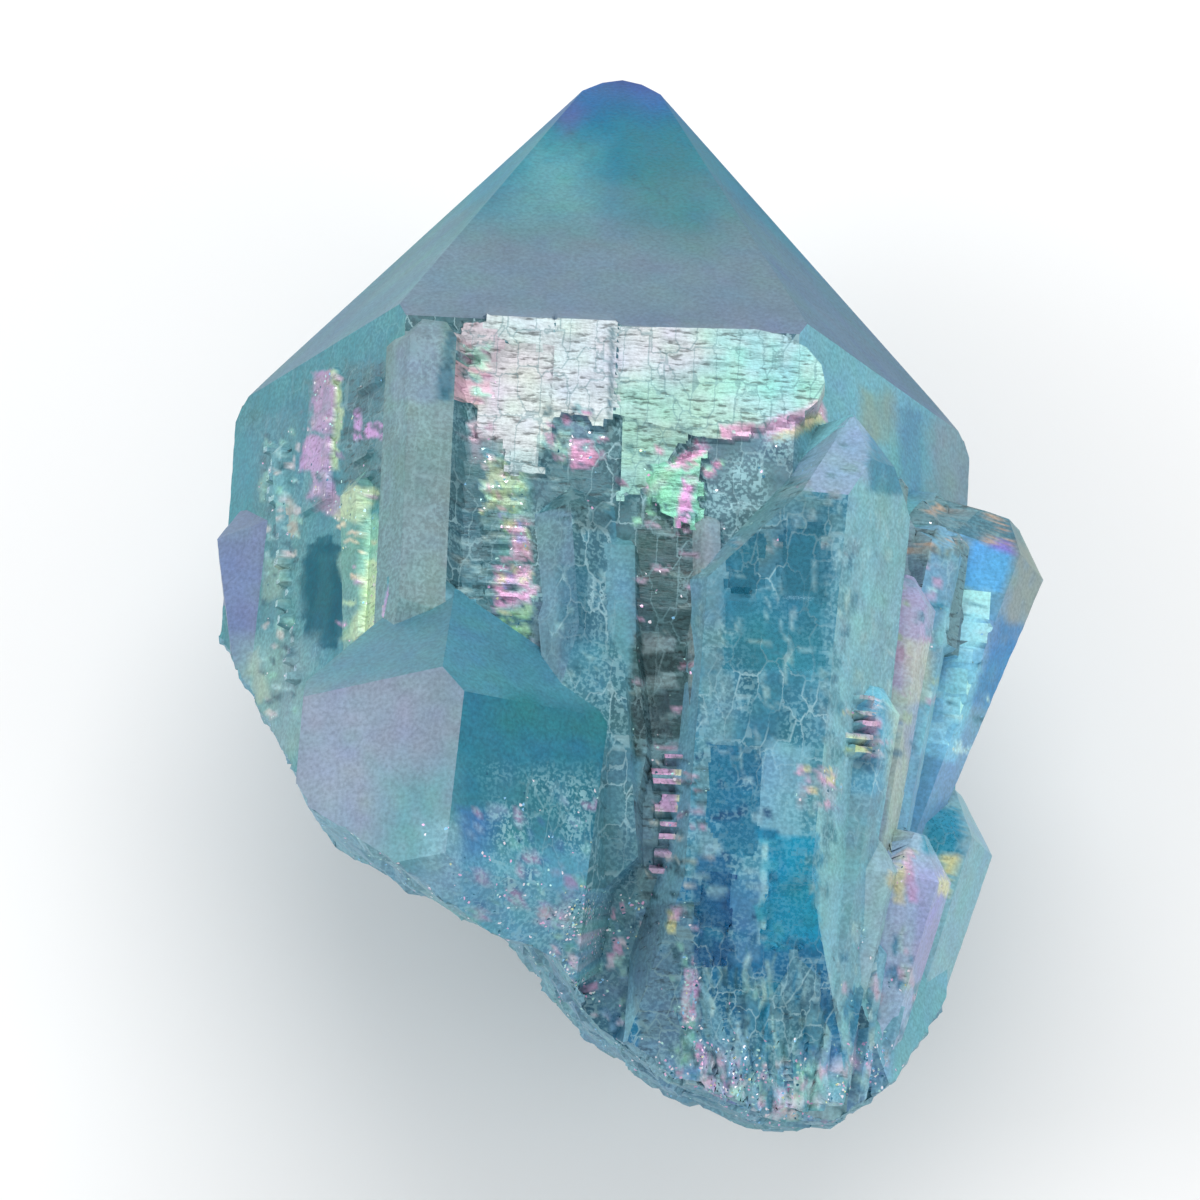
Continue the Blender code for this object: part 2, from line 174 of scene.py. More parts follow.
# The side crystals: slim crystals that grew along the main one with nearly the same axis, and overlap it.
# Each has its tip, root, half width, turn, taper and tip wear, and how proud of the front slopes it stands.
SIDE_CRYSTALS = (
    ("left_corner_rib", (-5.0, 5.9, 18.2), (-4.7, -12.0, 18.0), 1.15, 4.0, 0.0, 0.15, 0.55),
    ("centre_dome", (-0.7, 0.9, 18.1), (1.3, -16.0, 18.0), 1.25, 26.0, 0.5, 0.3, 0.9),
    ("centre_rib", (0.75, -0.8, 18.3), (1.7, -16.3, 18.3), 0.7, 8.0, 0.0, 0.2, 0.5),
    ("column_rib", (3.3, -0.2, 18.5), (4.2, -16.6, 18.4), 0.5, 15.0, 0.0, 0.1, 0.4),
    ("left_bulge", (-10.0, 3.3, 9.8), (-7.7, -9.0, 10.5), 1.75, 30.0, 0.0, 0.6, 2.0),
    ("left_inner_rib", (-6.6, 1.3, 16.8), (-5.8, -9.0, 16.9), 0.8, 0.0, 0.0, 0.2, 2.0),
    ("left_outer_rib", (-9.4, 3.6, 12.35), (-7.8, -8.6, 13.45), 0.4, 12.0, 0.0, 0.2, 2.0),
    ("right_upper", (12.0, 3.3, 11.8), (8.9, -9.0, 11.2), 1.95, 8.0, 5.0, 1.0, 2.0),
    ("right_upper_rib", (10.2, 1.4, 14.3), (8.4, -11.0, 13.2), 0.85, 25.0, 0.0, 0.3, 2.0),
    ("right_lower", (10.75, -4.9, 10.3), (8.2, -17.0, 8.8), 1.95, 12.0, 4.0, 0.8, 2.0),
    ("flank_rib", (9.35, -0.7, 15.4), (7.6, -15.5, 13.2), 0.85, 10.0, 0.5, 0.2, 1.2),
    ("flank_dome", (8.45, -4.6, 17.0), (7.0, -16.0, 14.0), 0.8, 5.0, 0.0, 0.35, 1.5),
    ("capped_rib", (7.1, -7.1, 17.2), (6.5, -16.4, 14.4), 0.7, 20.0, 0.0, 0.4, 2.0),
    ("lower_flank", (10.0, -8.2, 14.4), (8.3, -16.2, 11.2), 1.25, 16.0, 3.0, 0.3, 1.5),
    ("lower_rib", (8.75, -9.0, 15.6), (7.4, -16.4, 11.8), 0.75, 22.0, 0.0, 0.2, 1.0),
    ("back_left", (-7.2, 1.2, 4.7), (-5.0, -12.0, 5.5), 2.2, 20.0, 1.0, 0.5, 2.0),
    ("back_right", (7.3, 2.0, 4.7), (4.8, -14.0, 5.6), 2.4, -14.0, 1.0, 0.5, 2.0),
)
TALL = {"tip": (7.45, 2.85, 18.8), "root": (6.7, -16.5, 14.6), "taper": 1.0,
        "sides": ((0, 2.2), (60, 1.2), (120, 2.25), (180, 5.0), (-120, 5.0), (-60, 4.4))}
TALL_PROUD = 1.7
EDGE_ON = {"tip": (-2.9, -0.6, 17.2), "root": (-3.65, -15.0, 16.2), "taper": 1.5,
           "sides": ((-20, 4.9), (36, 4.2), (90, 4.2), (160, 5.0), (-90, 4.9), (-150, 5.0)),
           "peaks": ((-30, 0.0), (32, 1.1), (90, 1.1), (-90, 0.0))}
EDGE_BREAKS = (((-3.9, -12.0, 21.4), (-0.12, -0.80, 0.58)), ((0.5, -12.0, 18.6), (0.42, -0.75, 0.5)))

for name, tip, root, half_width, turn, taper, wear, proud in SIDE_CRYSTALS:
    shape = crystal(tip, root, hexagon(half_width, turn), taper=taper, wear=wear)
    grown.append((name, np.vstack([shape, front_slopes(proud)])))
grown.append(("tall", np.vstack([crystal(**TALL), front_slopes(TALL_PROUD)])))
grown.append(("edge_on", np.vstack([crystal(**EDGE_ON), facing(EDGE_BREAKS)])))

# The silvery front face: thin growth plates, a tenth or two of a millimetre thick, that the film covers.
# Each has its corners in plan and how far it stands proud. The right one ends in a round.
FRONT_PLATES = (
    (((-3.4, 5.3), (-1.42, 5.3), (-1.42, 4.46), (-3.4, 4.5)), 0.16),
    (((-1.36, 5.3), (0.45, 5.3), (0.45, 2.2), (-1.36, 2.4)), 0.20),
    (((-3.5, 4.4), (-1.3, 4.4), (-1.3, 1.2), (-3.5, 1.6)), 0.11),
    (((-2.45, 2.0), (-1.65, 2.0), (-1.65, 0.4), (-2.45, 0.5)), 0.13),
    (((-3.95, 4.85), (-3.05, 4.85), (-3.05, 4.05), (-3.8, 4.2)), 0.22),
    (((-4.0, 3.5), (-3.2, 3.5), (-3.2, 2.7), (-4.0, 2.7)), 0.15),
    (((0.7, 4.0), (3.3, 3.4), (1.9, 0.6), (0.8, -0.1)), 0.10),
    (((1.7, 0.7), (3.1, 1.3), (3.0, -1.0), (2.0, -0.6)), 0.17),
)
PLATE_DEPTH = 0.8
RIGHT_SLAB_CORNERS = ((0.52, 5.15), (0.52, 2.4), (3.2, 1.75), (4.35, 2.17))
RIGHT_SLAB_CENTRE = (4.35, 3.72)
RIGHT_SLAB_REACH = (2.25, 1.55)
RIGHT_SLAB_TURNS = (-46, -24, -2, 20, 42, 64, 86)
RIGHT_SLAB_PROUD = 0.16


def plate(corners, low, high):
    """A flat plate: each side faces away from the middle, square to its edge, and the faces are level."""
    corners = np.array(corners, float)
    along = np.roll(corners, -1, axis=0) - corners
    out = unit(np.column_stack([along[:, 1], -along[:, 0]]))
    out *= np.sign(np.sum(out * (corners - corners.mean(axis=0)), axis=1))[:, None]
    sides = np.column_stack([out, np.zeros(len(out)), np.sum(out * corners, axis=1)])
    return np.vstack([sides, (0.0, 0.0, -1.0, -low), (0.0, 0.0, 1.0, high)])


def right_slab():
    """The right half of the front face: straight corners, then an ellipse arc round its end."""
    turns = np.radians(RIGHT_SLAB_TURNS)
    arc = np.add(RIGHT_SLAB_CENTRE, RIGHT_SLAB_REACH * np.column_stack([np.cos(turns), np.sin(turns)]))
    corners = np.vstack([RIGHT_SLAB_CORNERS, arc])
    return plate(corners, FRONT_Z - PLATE_DEPTH, FRONT_Z + RIGHT_SLAB_PROUD)


for number, (corners, proud) in enumerate(FRONT_PLATES):
    grown.append((f"front_plate_{number}", plate(corners, FRONT_Z - PLATE_DEPTH, FRONT_Z + proud)))
grown.append(("front_plate_right", right_slab()))

# Ledges and beads: where growth stopped and started again, rows of small steps stand on the faces.
# Each row has its first and last place, its count, the size of one step, and how it tilts and rolls.
ROWS = (
    ("column_rung", (2.7, -7.7, 17.72), (2.8, -9.9, 17.14), 7, (1.1, 0.16, 0.5), 15.0, 0.0),
    ("column_step", (2.82, -10.3, 16.9), (2.9, -12.0, 15.5), 5, (1.0, 0.16, 0.5), 40.0, 0.0),
    ("ladder_rung", (11.35, -0.84, 12.97), (10.5, -4.75, 12.39), 6, (0.95, 0.6, 0.5), 9.4, 5.9),
    ("left_ledge", (-6.69, 4.3, 17.02), (-6.66, 0.7, 16.98), 6, (1.5, 0.13, 0.4), 0.0, -60.0),
    ("front_ledge", (-2.55, -0.1, 18.7), (-2.4, -3.3, 18.7), 9, (1.6, 0.17, 0.36), 0.0, 0.0),
    ("pink_plate", (-8.11, 2.75, 14.54), (-8.11, 2.75, 14.54), 1, (1.5, 4.2, 0.5), 0.0, -60.0),
    ("left_bead", (-9.85, 3.7, 11.75), (-8.5, -4.6, 14.1), 26, (0.24, 0.21, 0.44), 0.0, -60.0),
    ("dome_rung", (8.3, -5.6, 17.65), (8.05, -7.1, 17.4), 5, (0.8, 0.16, 0.5), 12.0, 8.0),
)
# How far a step strays from its row, and the least and the greatest share of its size that it has.
ROW_DRIFT = np.array((0.18, 0.05, 0.03))
ROW_SCALE = np.array(((0.5, 0.7, 0.92), (1.05, 1.35, 1.0)))


def block(centre, size, tilt=0.0, roll=0.0):
    """A box: its axes are the frame's, turned by the tilt round X and then by the roll round Y."""
    a, b = math.radians(tilt), math.radians(roll)
    tilted = np.array(((1, 0, 0), (0, math.cos(a), -math.sin(a)), (0, math.sin(a), math.cos(a))))
    rolled = np.array(((math.cos(b), 0, math.sin(b)), (0, 1, 0), (-math.sin(b), 0, math.cos(b))))
    axes = (rolled @ tilted).T
    outs = np.vstack([axes, -axes])
    reach = np.tile(np.array(size) / 2, 2)
    return np.column_stack([outs, outs @ np.array(centre) + reach])


uneven = np.random.default_rng(5)
for name, first, last, count, size, tilt, roll in ROWS:
    for number, share in enumerate(np.linspace(0, 1, count)):
        centre = np.array(first) * (1 - share) + np.array(last) * share
        centre += uneven.uniform(-1, 1, 3) * ROW_DRIFT * (count > 1)
        scale = uneven.uniform(*ROW_SCALE, 3) if count > 1 else 1.0
        grown.append((f"{name}_{number}", block(centre, np.array(size) * scale, tilt, roll)))

# The rock side: the point was snapped off its rock here, which left curved breaks with a crumbly edge.
# What lies past the breaks is gone, and a deeper piece came away at the lower left. Each break runs through a
# point and has the direction that it faces.
BREAKS = (
    ((-9.6, -3.6, 8.0), (-0.84, -0.52, -0.16)),
    ((-9.6, -3.6, 8.0), (-0.72, -0.42, -0.55)),
    ((0.65, -13.1, 7.0), (-0.53, -0.83, -0.17)),
    ((1.6, -13.7, 7.0), (-0.40, -0.62, -0.68)),
    ((4.6, -15.1, 7.0), (-0.31, -0.93, -0.20)),
    ((6.9, -15.5, 7.5), (0.09, -0.96, -0.27)),
    ((8.5, -14.9, 7.5), (0.60, -0.77, -0.22)),
    ((9.9, -13.2, 7.5), (0.84, -0.50, -0.18)),
    ((9.6, -12.6, 6.5), (0.55, -0.45, -0.70)),
)
DEEP_BREAK = (((-5.9, -11.9, 18.5), (-0.38, -0.88, -0.34)), ((-0.95, -11.2, 7.0), (-0.78, -0.61, -0.10)))

# The windows: shallow pits with flat floors, where a face of the tall crystal grew slower than its rim. Each has
# its centre and size before the tilt and the roll, which lay it along the face.
WINDOWS = (
    ((4.5, -2.2, 19.94), (0.85, 1.9, 0.5), 12.9, 0.0),
    ((6.15, -2.35, 19.92), (1.1, 2.05, 0.5), 12.9, 0.0),
    ((5.4, -4.45, 19.44), (2.7, 1.95, 0.5), 12.9, 0.0),
    ((4.55, -9.1, 18.35), (1.5, 3.1, 0.5), 12.9, 0.0),
    ((4.15, -12.2, 17.04), (0.85, 3.0, 0.5), 40.0, 0.0),
    ((6.35, -11.95, 17.25), (1.35, 2.4, 0.5), 40.0, 0.0),
)

# The root ribs: thin crystals that run together here, where many small ones started from the rock. Each has two
# places in the picture's pixels, where it starts and one on its way down, and its half width. It rises out of the
# face slowly, and reaches on past its second place, though not out of the break.
ROOT_RIBS = (
    ((672, 1000), (704, 1066), 0.20), ((690, 950), (722, 1050), 0.26), ((722, 985), (744, 1060), 0.18),
    ((741, 930), (762, 1050), 0.30), ((771, 985), (779, 1060), 0.16), ((792, 930), (796, 1030), 0.24),
    ((818, 1005), (808, 1070), 0.22), ((834, 955), (824, 1050), 0.20), ((858, 985), (846, 1050), 0.20),
    ((878, 945), (864, 1040), 0.28), ((900, 1000), (886, 1050), 0.20),
)
ROOT_RIB_REACH = 2.2
ROOT_END_Y = -16.75
ROOT_RIB_PROUD = (-0.06, 0.32)
ROOT_RIB_TURN = 12.0
ROOT_RIB_WEAR = 0.05
FACE_UP = np.array((0.0, -0.64, 0.77))


def crossing(planes, start, out):
    """Where rays enter and leave a convex solid, and by which planes: a plane is met at (d - n.start) / n.out,
    the last plane met against its facing lets the ray in and the first met along it lets the ray out."""
    speed = out @ planes[:, :3].T
    speed = np.where(np.abs(speed) < 1e-9, 1e-9, speed)
    met = (planes[:, 3] - start @ planes[:, :3].T) / speed
    leaving = np.where(speed > 0, met, np.inf)
    entering = np.where(speed < 0, met, -np.inf)
    return entering.max(axis=1), entering.argmax(axis=1), leaving.min(axis=1), leaving.argmin(axis=1)


def seen_at(across, down):
    """The first place on the solids so far along the camera's ray through a pixel of the picture."""
    side = SENSOR / LENS * CAMERA_AWAY / PICTURE_SIDE
    eye = CAMERA_AIM + camera_back * CAMERA_AWAY
    target = CAMERA_AIM + camera_right * (across - PICTURE_SIDE / 2) * side
    target = target + camera_up * (PICTURE_SIDE / 2 - down) * side
    way = unit(target - eye)
    nearest = math.inf
    for name, planes in grown:
        enters, first, leaves, last = crossing(planes, eye[None], way[None])
        if enters[0] < leaves[0]:
            nearest = min(nearest, enters[0])
    return eye + way * nearest


# all the places are found before the first rib stands in the way of the others
rib_ends = [(seen_at(*start_at), seen_at(*lower_at), half_width) for start_at, lower_at, half_width in ROOT_RIBS]
for number, (start, lower, half_width) in enumerate(rib_ends):
    reach = min(ROOT_RIB_REACH, (ROOT_END_Y - start[1]) / (lower[1] - start[1]))
    ends = np.array((start, start + (lower - start) * reach))
    ends += np.outer(np.array(ROOT_RIB_PROUD) - half_width, FACE_UP)
    sides = hexagon(half_width, ROOT_RIB_TURN * number)
    grown.append((f"root_rib_{number}", crystal(*ends, sides, wear=ROOT_RIB_WEAR)))

# The stubs: short crystals that fill the gap between the main crystal and the upper right one. Each has its tip,
# its root and its half width.
RUBBLE = (
    ((9.7, 2.4, 13.3), (9.4, -3.5, 13.2), 0.72), ((9.1, 1.5, 14.5), (8.8, -4.0, 14.4), 0.50),
    ((10.5, 2.1, 12.9), (10.3, -2.5, 12.9), 0.62), ((10.7, 1.2, 13.9), (10.4, -2.5, 13.8), 0.40),
    ((8.9, 2.6, 14.6), (8.7, -2.5, 14.4), 0.30), ((10.1, 2.9, 12.6), (9.9, -2.5, 12.6), 0.40),
)
RUBBLE_TURN = 17.0
RUBBLE_WEAR = 0.1

for number, (tip, root, half_width) in enumerate(RUBBLE):
    sides = hexagon(half_width, RUBBLE_TURN * number)
    grown.append((f"rubble_{number}", crystal(tip, root, sides, wear=RUBBLE_WEAR)))

# Frayed edges: small blocks along the rims of the windows and of the silvery plates, so that they step in and out.
# The blocks of a window are cut away with it, and those of a plate stand on the face just below its top.
WINDOW_RAISE = 0.12
WINDOW_BITES = 10
BITE_DRIFT = 0.2
RIM_REACH = 1.5
BITE_WIDTHS, BITE_LENGTHS = (0.18, 0.5), (0.18, 0.6)
BITE_SHALLOWER = 0.06
PLATE_BITS, SLAB_BITS = 12, 16
PLATE_BIT_REACH, SLAB_BIT_REACH = (0.08, 0.26), (0.08, 0.25)
PLATE_BIT_DROP = (0.01, 0.06)
STRAIGHT_FROM_Y = 4.95
SLAB_EDGE = np.array(((0.7, 2.2), (5.9, 2.75)))
SLAB_EDGE_SAG = 0.5
SLAB_BIT_PROUD = 0.12


def bit(middle, least, most):
    """The corners of a small rectangle round a point: minus and plus a random reach in each direction."""
    reach = uneven.uniform(least, most, 2)
    return middle + reach * np.array(((-1, -1), (1, -1), (1, 1), (-1, 1)))


pits = []
pit_parent = []
for number, (centre, size, tilt, roll) in enumerate(WINDOWS):
    centre = np.array(centre) + (0.0, 0.0, WINDOW_RAISE)
    pits.append(block(centre, size, tilt, roll))
    pit_parent.append(number)
    down_face = np.array((0.0, math.cos(math.radians(tilt)), math.sin(math.radians(tilt))))
    turns = np.arange(WINDOW_BITES) * (2 / WINDOW_BITES) * math.pi
    for turn in turns + uneven.uniform(-BITE_DRIFT, BITE_DRIFT, WINDOW_BITES):
        # a circle that is wider than the window, pushed back on to its rim
        rim = np.clip((RIM_REACH * math.cos(turn), RIM_REACH * math.sin(turn)), -1, 1)
        across, along = rim * np.array(size[:2]) / 2
        small = (uneven.uniform(*BITE_WIDTHS), uneven.uniform(*BITE_LENGTHS), size[2] - BITE_SHALLOWER)
        pits.append(block(centre + (across, 0, 0) + down_face * along, small, tilt, roll))
        pit_parent.append(number)
for number, (corners, proud) in enumerate(FRONT_PLATES):
    ends = np.array(corners)
    for share in uneven.uniform(0, 4, PLATE_BITS):
        first, second = ends[int(share)], ends[(int(share) + 1) % 4]
        middle = first + (second - first) * (share % 1.0)
        if middle[1] > STRAIGHT_FROM_Y:
            continue
        square = bit(middle, *PLATE_BIT_REACH)
        height = FRONT_Z + proud - uneven.uniform(*PLATE_BIT_DROP)
        grown.append((f"front_plate_{number}_edge", plate(square, FRONT_Z - PLATE_DEPTH, height)))
for share in uneven.uniform(0, 1, SLAB_BITS):
    middle = SLAB_EDGE[0] * (1 - share) + SLAB_EDGE[1] * share
    middle = middle + (0, -SLAB_EDGE_SAG * math.sin(math.pi * share))
    square = bit(middle, *SLAB_BIT_REACH)
    grown.append(("front_plate_right_edge", plate(square, FRONT_Z - PLATE_DEPTH, FRONT_Z + SLAB_BIT_PROUD)))

# The outer surface: one closed skin over everything above, found by rays that leave a line inside the crystal.
# The rays turn round the line in columns and run along it in rows, fanned out at both ends, and are closest
# together where the face is finest, on the front.
FAN_TIP = (0.0, 5.4, 9.6)
FAN_ROOT = (3.0, -9.0, 9.6)
LINE_BEND = 0.6
TIP_ROWS, SIDE_ROWS, ROOT_ROWS = 40, 142, 92
COLUMNS = 354
TIP_FAN, ROOT_FAN = (2.0, 88.0), (89.4, 1.2)
# A ray's owner is the number of its solid, or one of these: a broken face, or a window's pits from there on.
BROKEN = 1000
WINDOW = 2000
# EASE holds a vertex near the middle of its cell. A sample is below a ledge when it lies more than LEDGE under it,
# and a ray that grazes a face is taken to meet it with a slope of at least LEAST_SLOPE.
EASE = 0.01
LEDGE = 0.015
LEAST_SLOPE = 0.05
# The turn round the line in degrees, and the gap between the rays there against the others.
COLUMN_GAPS = ((-180, 4.0), (-150, 4.0), (-140, 2.0), (-98, 1.8), (-90, 0.8), (-38, 0.7), (-33, 0.54),
               (33, 0.54), (38, 0.7), (90, 0.8), (98, 1.8), (140, 2.0), (150, 4.0), (180, 4.0))


def spaced(knots, count):
    """Places in order whose gaps follow those that the knots give: the inverse of the summed 1/gap."""
    places, gaps = np.array(knots, float).T
    fine = np.linspace(places[0], places[-1], 4001)
    dense = np.concatenate([[0], np.cumsum(1 / np.interp(fine[1:], places, gaps))])
    return np.interp(np.arange(count) / count, dense / dense[-1], fine)


def rays():
    """Starts (rows, 3) and directions (rows, columns, 3). Between the fans a row is at one place along +Y and its
    rays are (sin turn, 0, cos turn). In a fan they lean from there to the axis by the fan's angle."""
    turn = np.radians(spaced(COLUMN_GAPS, COLUMNS))
    tip_fan = np.radians(np.linspace(*TIP_FAN, TIP_ROWS))
    root_fan = np.radians(np.linspace(*ROOT_FAN, ROOT_ROWS))
    along = np.linspace(0, 1, SIDE_ROWS)
    lean = np.concatenate([tip_fan, np.full(SIDE_ROWS, math.pi / 2), root_fan])
    way = np.concatenate([np.ones(TIP_ROWS + SIDE_ROWS), -np.ones(ROOT_ROWS)])
    share = np.concatenate([np.zeros(TIP_ROWS), along, np.ones(ROOT_ROWS)])
    start = np.outer(1 - share, FAN_TIP) + np.outer(share, FAN_ROOT)
    start[:, 0] = FAN_ROOT[0] * share ** LINE_BEND
    out = np.stack([np.outer(np.sin(lean), np.sin(turn)), np.outer(np.cos(lean) * way, np.ones(COLUMNS)),
                    np.outer(np.sin(lean), np.cos(turn))], axis=2)
    return start, out


def skin_samples(start, out):
    """For each ray: how far out the surface is, its plane there, and the solid that it belongs to."""
    reach = np.zeros(len(out))
    plane = np.zeros((len(out), 4))
    owner = np.zeros(len(out), int)
    for number, (name, planes) in enumerate(grown):
        enters, first, leaves, last = crossing(planes, start, out)
        wins = (leaves > reach) & (enters < leaves)
        reach[wins], plane[wins], owner[wins] = leaves[wins], planes[last[wins]], number
    broken = facing(BREAKS)
    enters, first, leaves, last = crossing(broken, start, out)
    wins = leaves < reach
    reach[wins], plane[wins], owner[wins] = leaves[wins], broken[last[wins]], BROKEN
    beyond, beside = facing(DEEP_BREAK, -1.0)
    wedge = np.vstack([beyond, beside])
    enters, first, leaves, last = crossing(wedge, start, out)
    wins = (enters < reach) & (enters < leaves) & (leaves > 0)
    reach[wins], plane[wins], owner[wins] = enters[wins], -wedge[first[wins]], BROKEN
    for number, planes in enumerate(pits):
        enters, first, leaves, last = crossing(planes, start, out)
        wins = (enters < reach) & (reach < leaves) & (owner < WINDOW)
        reach[wins], plane[wins], owner[wins] = enters[wins], -planes[first[wins]], WINDOW + number
    return reach, plane, owner


def four(field):
    """A field at the four corners of each cell of the grid, which closes round the columns."""
    beside = np.roll(field, -1, axis=1)
    return np.stack([field[:-1], beside[:-1], field[1:], beside[1:]], axis=2)


def skin_corners(start, out, reach, plane, owner):
    """One vertex in each cell, where the planes of its four samples meet: the point x with the least sum of
    (n.x - d)^2 + EASE |x - middle|^2. At a ledge only the higher samples count, with the wall's own plane."""
    place = start + out * reach[..., None]
    starts, outs, places, planes, owners = (four(field) for field in (start, out, place, plane, owner))
    weight = np.ones(owners.shape)
    walls = np.zeros(owners.shape + (4,))
    shapes = {number: shape for number, (name, shape) in enumerate(grown)}
    shapes.update({WINDOW + number: planes for number, planes in enumerate(pits)})
    for number, shape in shapes.items():
        has = owners == number
        rows, columns = np.nonzero(has.any(axis=2) & ~has.all(axis=2))
        has = has[rows, columns]
        if number >= WINDOW:
            has = ~has
        high = planes[rows, columns, has.argmax(axis=1)][:, None, :]
        begin, way = starts[rows, columns], outs[rows, columns]
        speed = np.sum(way * high[..., :3], axis=2)
        level = (high[..., 3] - np.sum(begin * high[..., :3], axis=2)) / np.maximum(speed, LEAST_SLOPE)
        raised = begin + way * level[..., None]
        beyond = raised @ shape[:, :3].T - shape[:, 3]
        lower = np.linalg.norm(places[rows, columns] - begin, axis=2) < level - LEDGE
        if number >= WINDOW:
            wall = shape[beyond.max(axis=1).argmax(axis=1)]
            falls = ~has & lower
        else:
            falls = ~has & lower & (beyond.max(axis=2) > 0)
            wall = shape[np.where(falls[..., None], beyond, -np.inf).max(axis=1).argmax(axis=1)]
        held = falls.any(axis=1)
        rows, columns, falls, raised, wall = rows[held], columns[held], falls[held], raised[held], wall[held]
        weight[rows, columns] = np.where(falls, 0.0, weight[rows, columns])
        places[rows, columns] = np.where(falls[..., None], raised, places[rows, columns])
        walls[rows, columns, 0] = wall
    middle = places.mean(axis=2)
    span = np.linalg.norm(places - middle[..., None, :], axis=3).max(axis=2)
    every = np.concatenate([planes * weight[..., None], walls], axis=2)
    normal, offset = every[..., :3], every[..., 3]
    # the planes are measured from the cell's middle, so that the solution is the step from there
    offset = offset - np.sum(normal * middle[..., None, :], axis=3)
    pull = np.einsum("rcki,rckj->rcij", normal, normal) + EASE * np.eye(3)
    step = np.linalg.solve(pull, np.einsum("rcki,rck->rci", normal, offset)[..., None])[..., 0]
    length = np.linalg.norm(step, axis=2)
    step *= np.minimum(1.0, span / np.maximum(length, 1e-9))[..., None]
    return middle + step, planes, owners


def skin_pole(start, way):
    """The surface point straight ahead of a fan, where its rows close."""
    reach = skin_samples(start[None], np.array([way], float))[0]
    return start + np.array(way, float) * reach


start, out = rays()
start = np.broadcast_to(start[:, None], out.shape)
samples = skin_samples(start.reshape(-1, 3), out.reshape(-1, 3))
reach, plane, owner = (field.reshape(out.shape[:2] + field.shape[1:]) for field in samples)
corner, corner_planes, corner_owners = skin_corners(start, out, reach, plane, owner)
poles = np.array([skin_pole(start[0, 0], (0, 1, 0)), skin_pole(start[-1, 0], (0, -1, 0))])

# The relief: quartz grows in thin layers, so its faces carry steps and fine lines across the crystal's axis.
# The film follows them. Heights are in millimetres and move each vertex along the mean of its faces. Each noise
# has the size of its features in millimetres and a seed.
STRIA_GAP = 0.42
STRIA_HEIGHT = 0.022
GRAIN_HEIGHT = 0.016
TERRACE_HEIGHT = 0.035
TERRACES = 2.2
FROST_HEIGHT = 0.012
SPECKLE_HEIGHT = 0.035
SPECKLE_FROM_Y, SPECKLE_FADE = -6.0, 4
CRUMB_HEIGHT = 0.17
CRUMB_FROM_Y, CRUMB_FADE, CRUMB_MOST = -13.2, 2.5, 0.35
EDGE_CRUMB_FROM_Y, EDGE_CRUMB_FADE, EDGE_CRUMB_MOST = -9.5, 6, 0.4
REST_FACE_CLEAR = 0.6


def noise(place, size, seed):
    """Smooth noise from -1 to 1: random numbers at the corners of boxes of the given size, blended between."""
    scaled = np.asarray(place) / size
    low = np.floor(scaled)
    part = scaled - low
    part = part * part * (3 - 2 * part)
    low = low.astype(np.int64)
    total = 0.0
    for x in (0, 1):
        for y in (0, 1):
            for z in (0, 1):
                mixed = (low[..., 0] + x) * 73856093 ^ (low[..., 1] + y) * 19349663 ^ (low[..., 2] + z) * 83492791
                mixed = (mixed ^ seed * 40503) & 0x7FFFFFFF
                mixed = ((mixed ^ mixed >> 15) * 2246822519) & 0x7FFFFFFF
                mixed = ((mixed ^ mixed >> 13) * 3266489917) & 0x7FFFFFFF
                share = np.abs(1 - x - part[..., 0]) * np.abs(1 - y - part[..., 1]) * np.abs(1 - z - part[..., 2])
                total = total + share * ((mixed & 0xFFFF) / 32767.5 - 1)
    return total


def crumbs(place, size, seed):
    """Broken facets: each point takes the height, and the slope, of the nearest of a set of scattered points."""
    scaled = place / size
    low = np.floor(scaled)
    nearest = np.full(place.shape[:-1], np.inf)
    height = np.zeros(place.shape[:-1])
    for x in (-1, 0, 1):
        for y in (-1, 0, 1):
            for z in (-1, 0, 1):
                cell = low + (x, y, z)
                jitter = np.stack([noise(cell + 0.0, 1.0, seed + way) for way in range(6)], axis=-1)
                centre = cell + 0.5 + 0.45 * jitter[..., :3]
                away = scaled - centre
                distance = np.sum(away * away, axis=-1)
                closer = distance < nearest
                slope = np.sum(away * jitter[..., 3:], axis=-1) * 0.7 + jitter[..., 3] * 0.5
                nearest = np.where(closer, distance, nearest)
                height = np.where(closer, slope, height)
    return height


def named(owners, *starts):
    """Which samples belong to the solids whose names start so."""
    numbers = [number for number, (name, shape) in enumerate(grown) if name.startswith(starts)]
    return np.isin(owners, numbers)


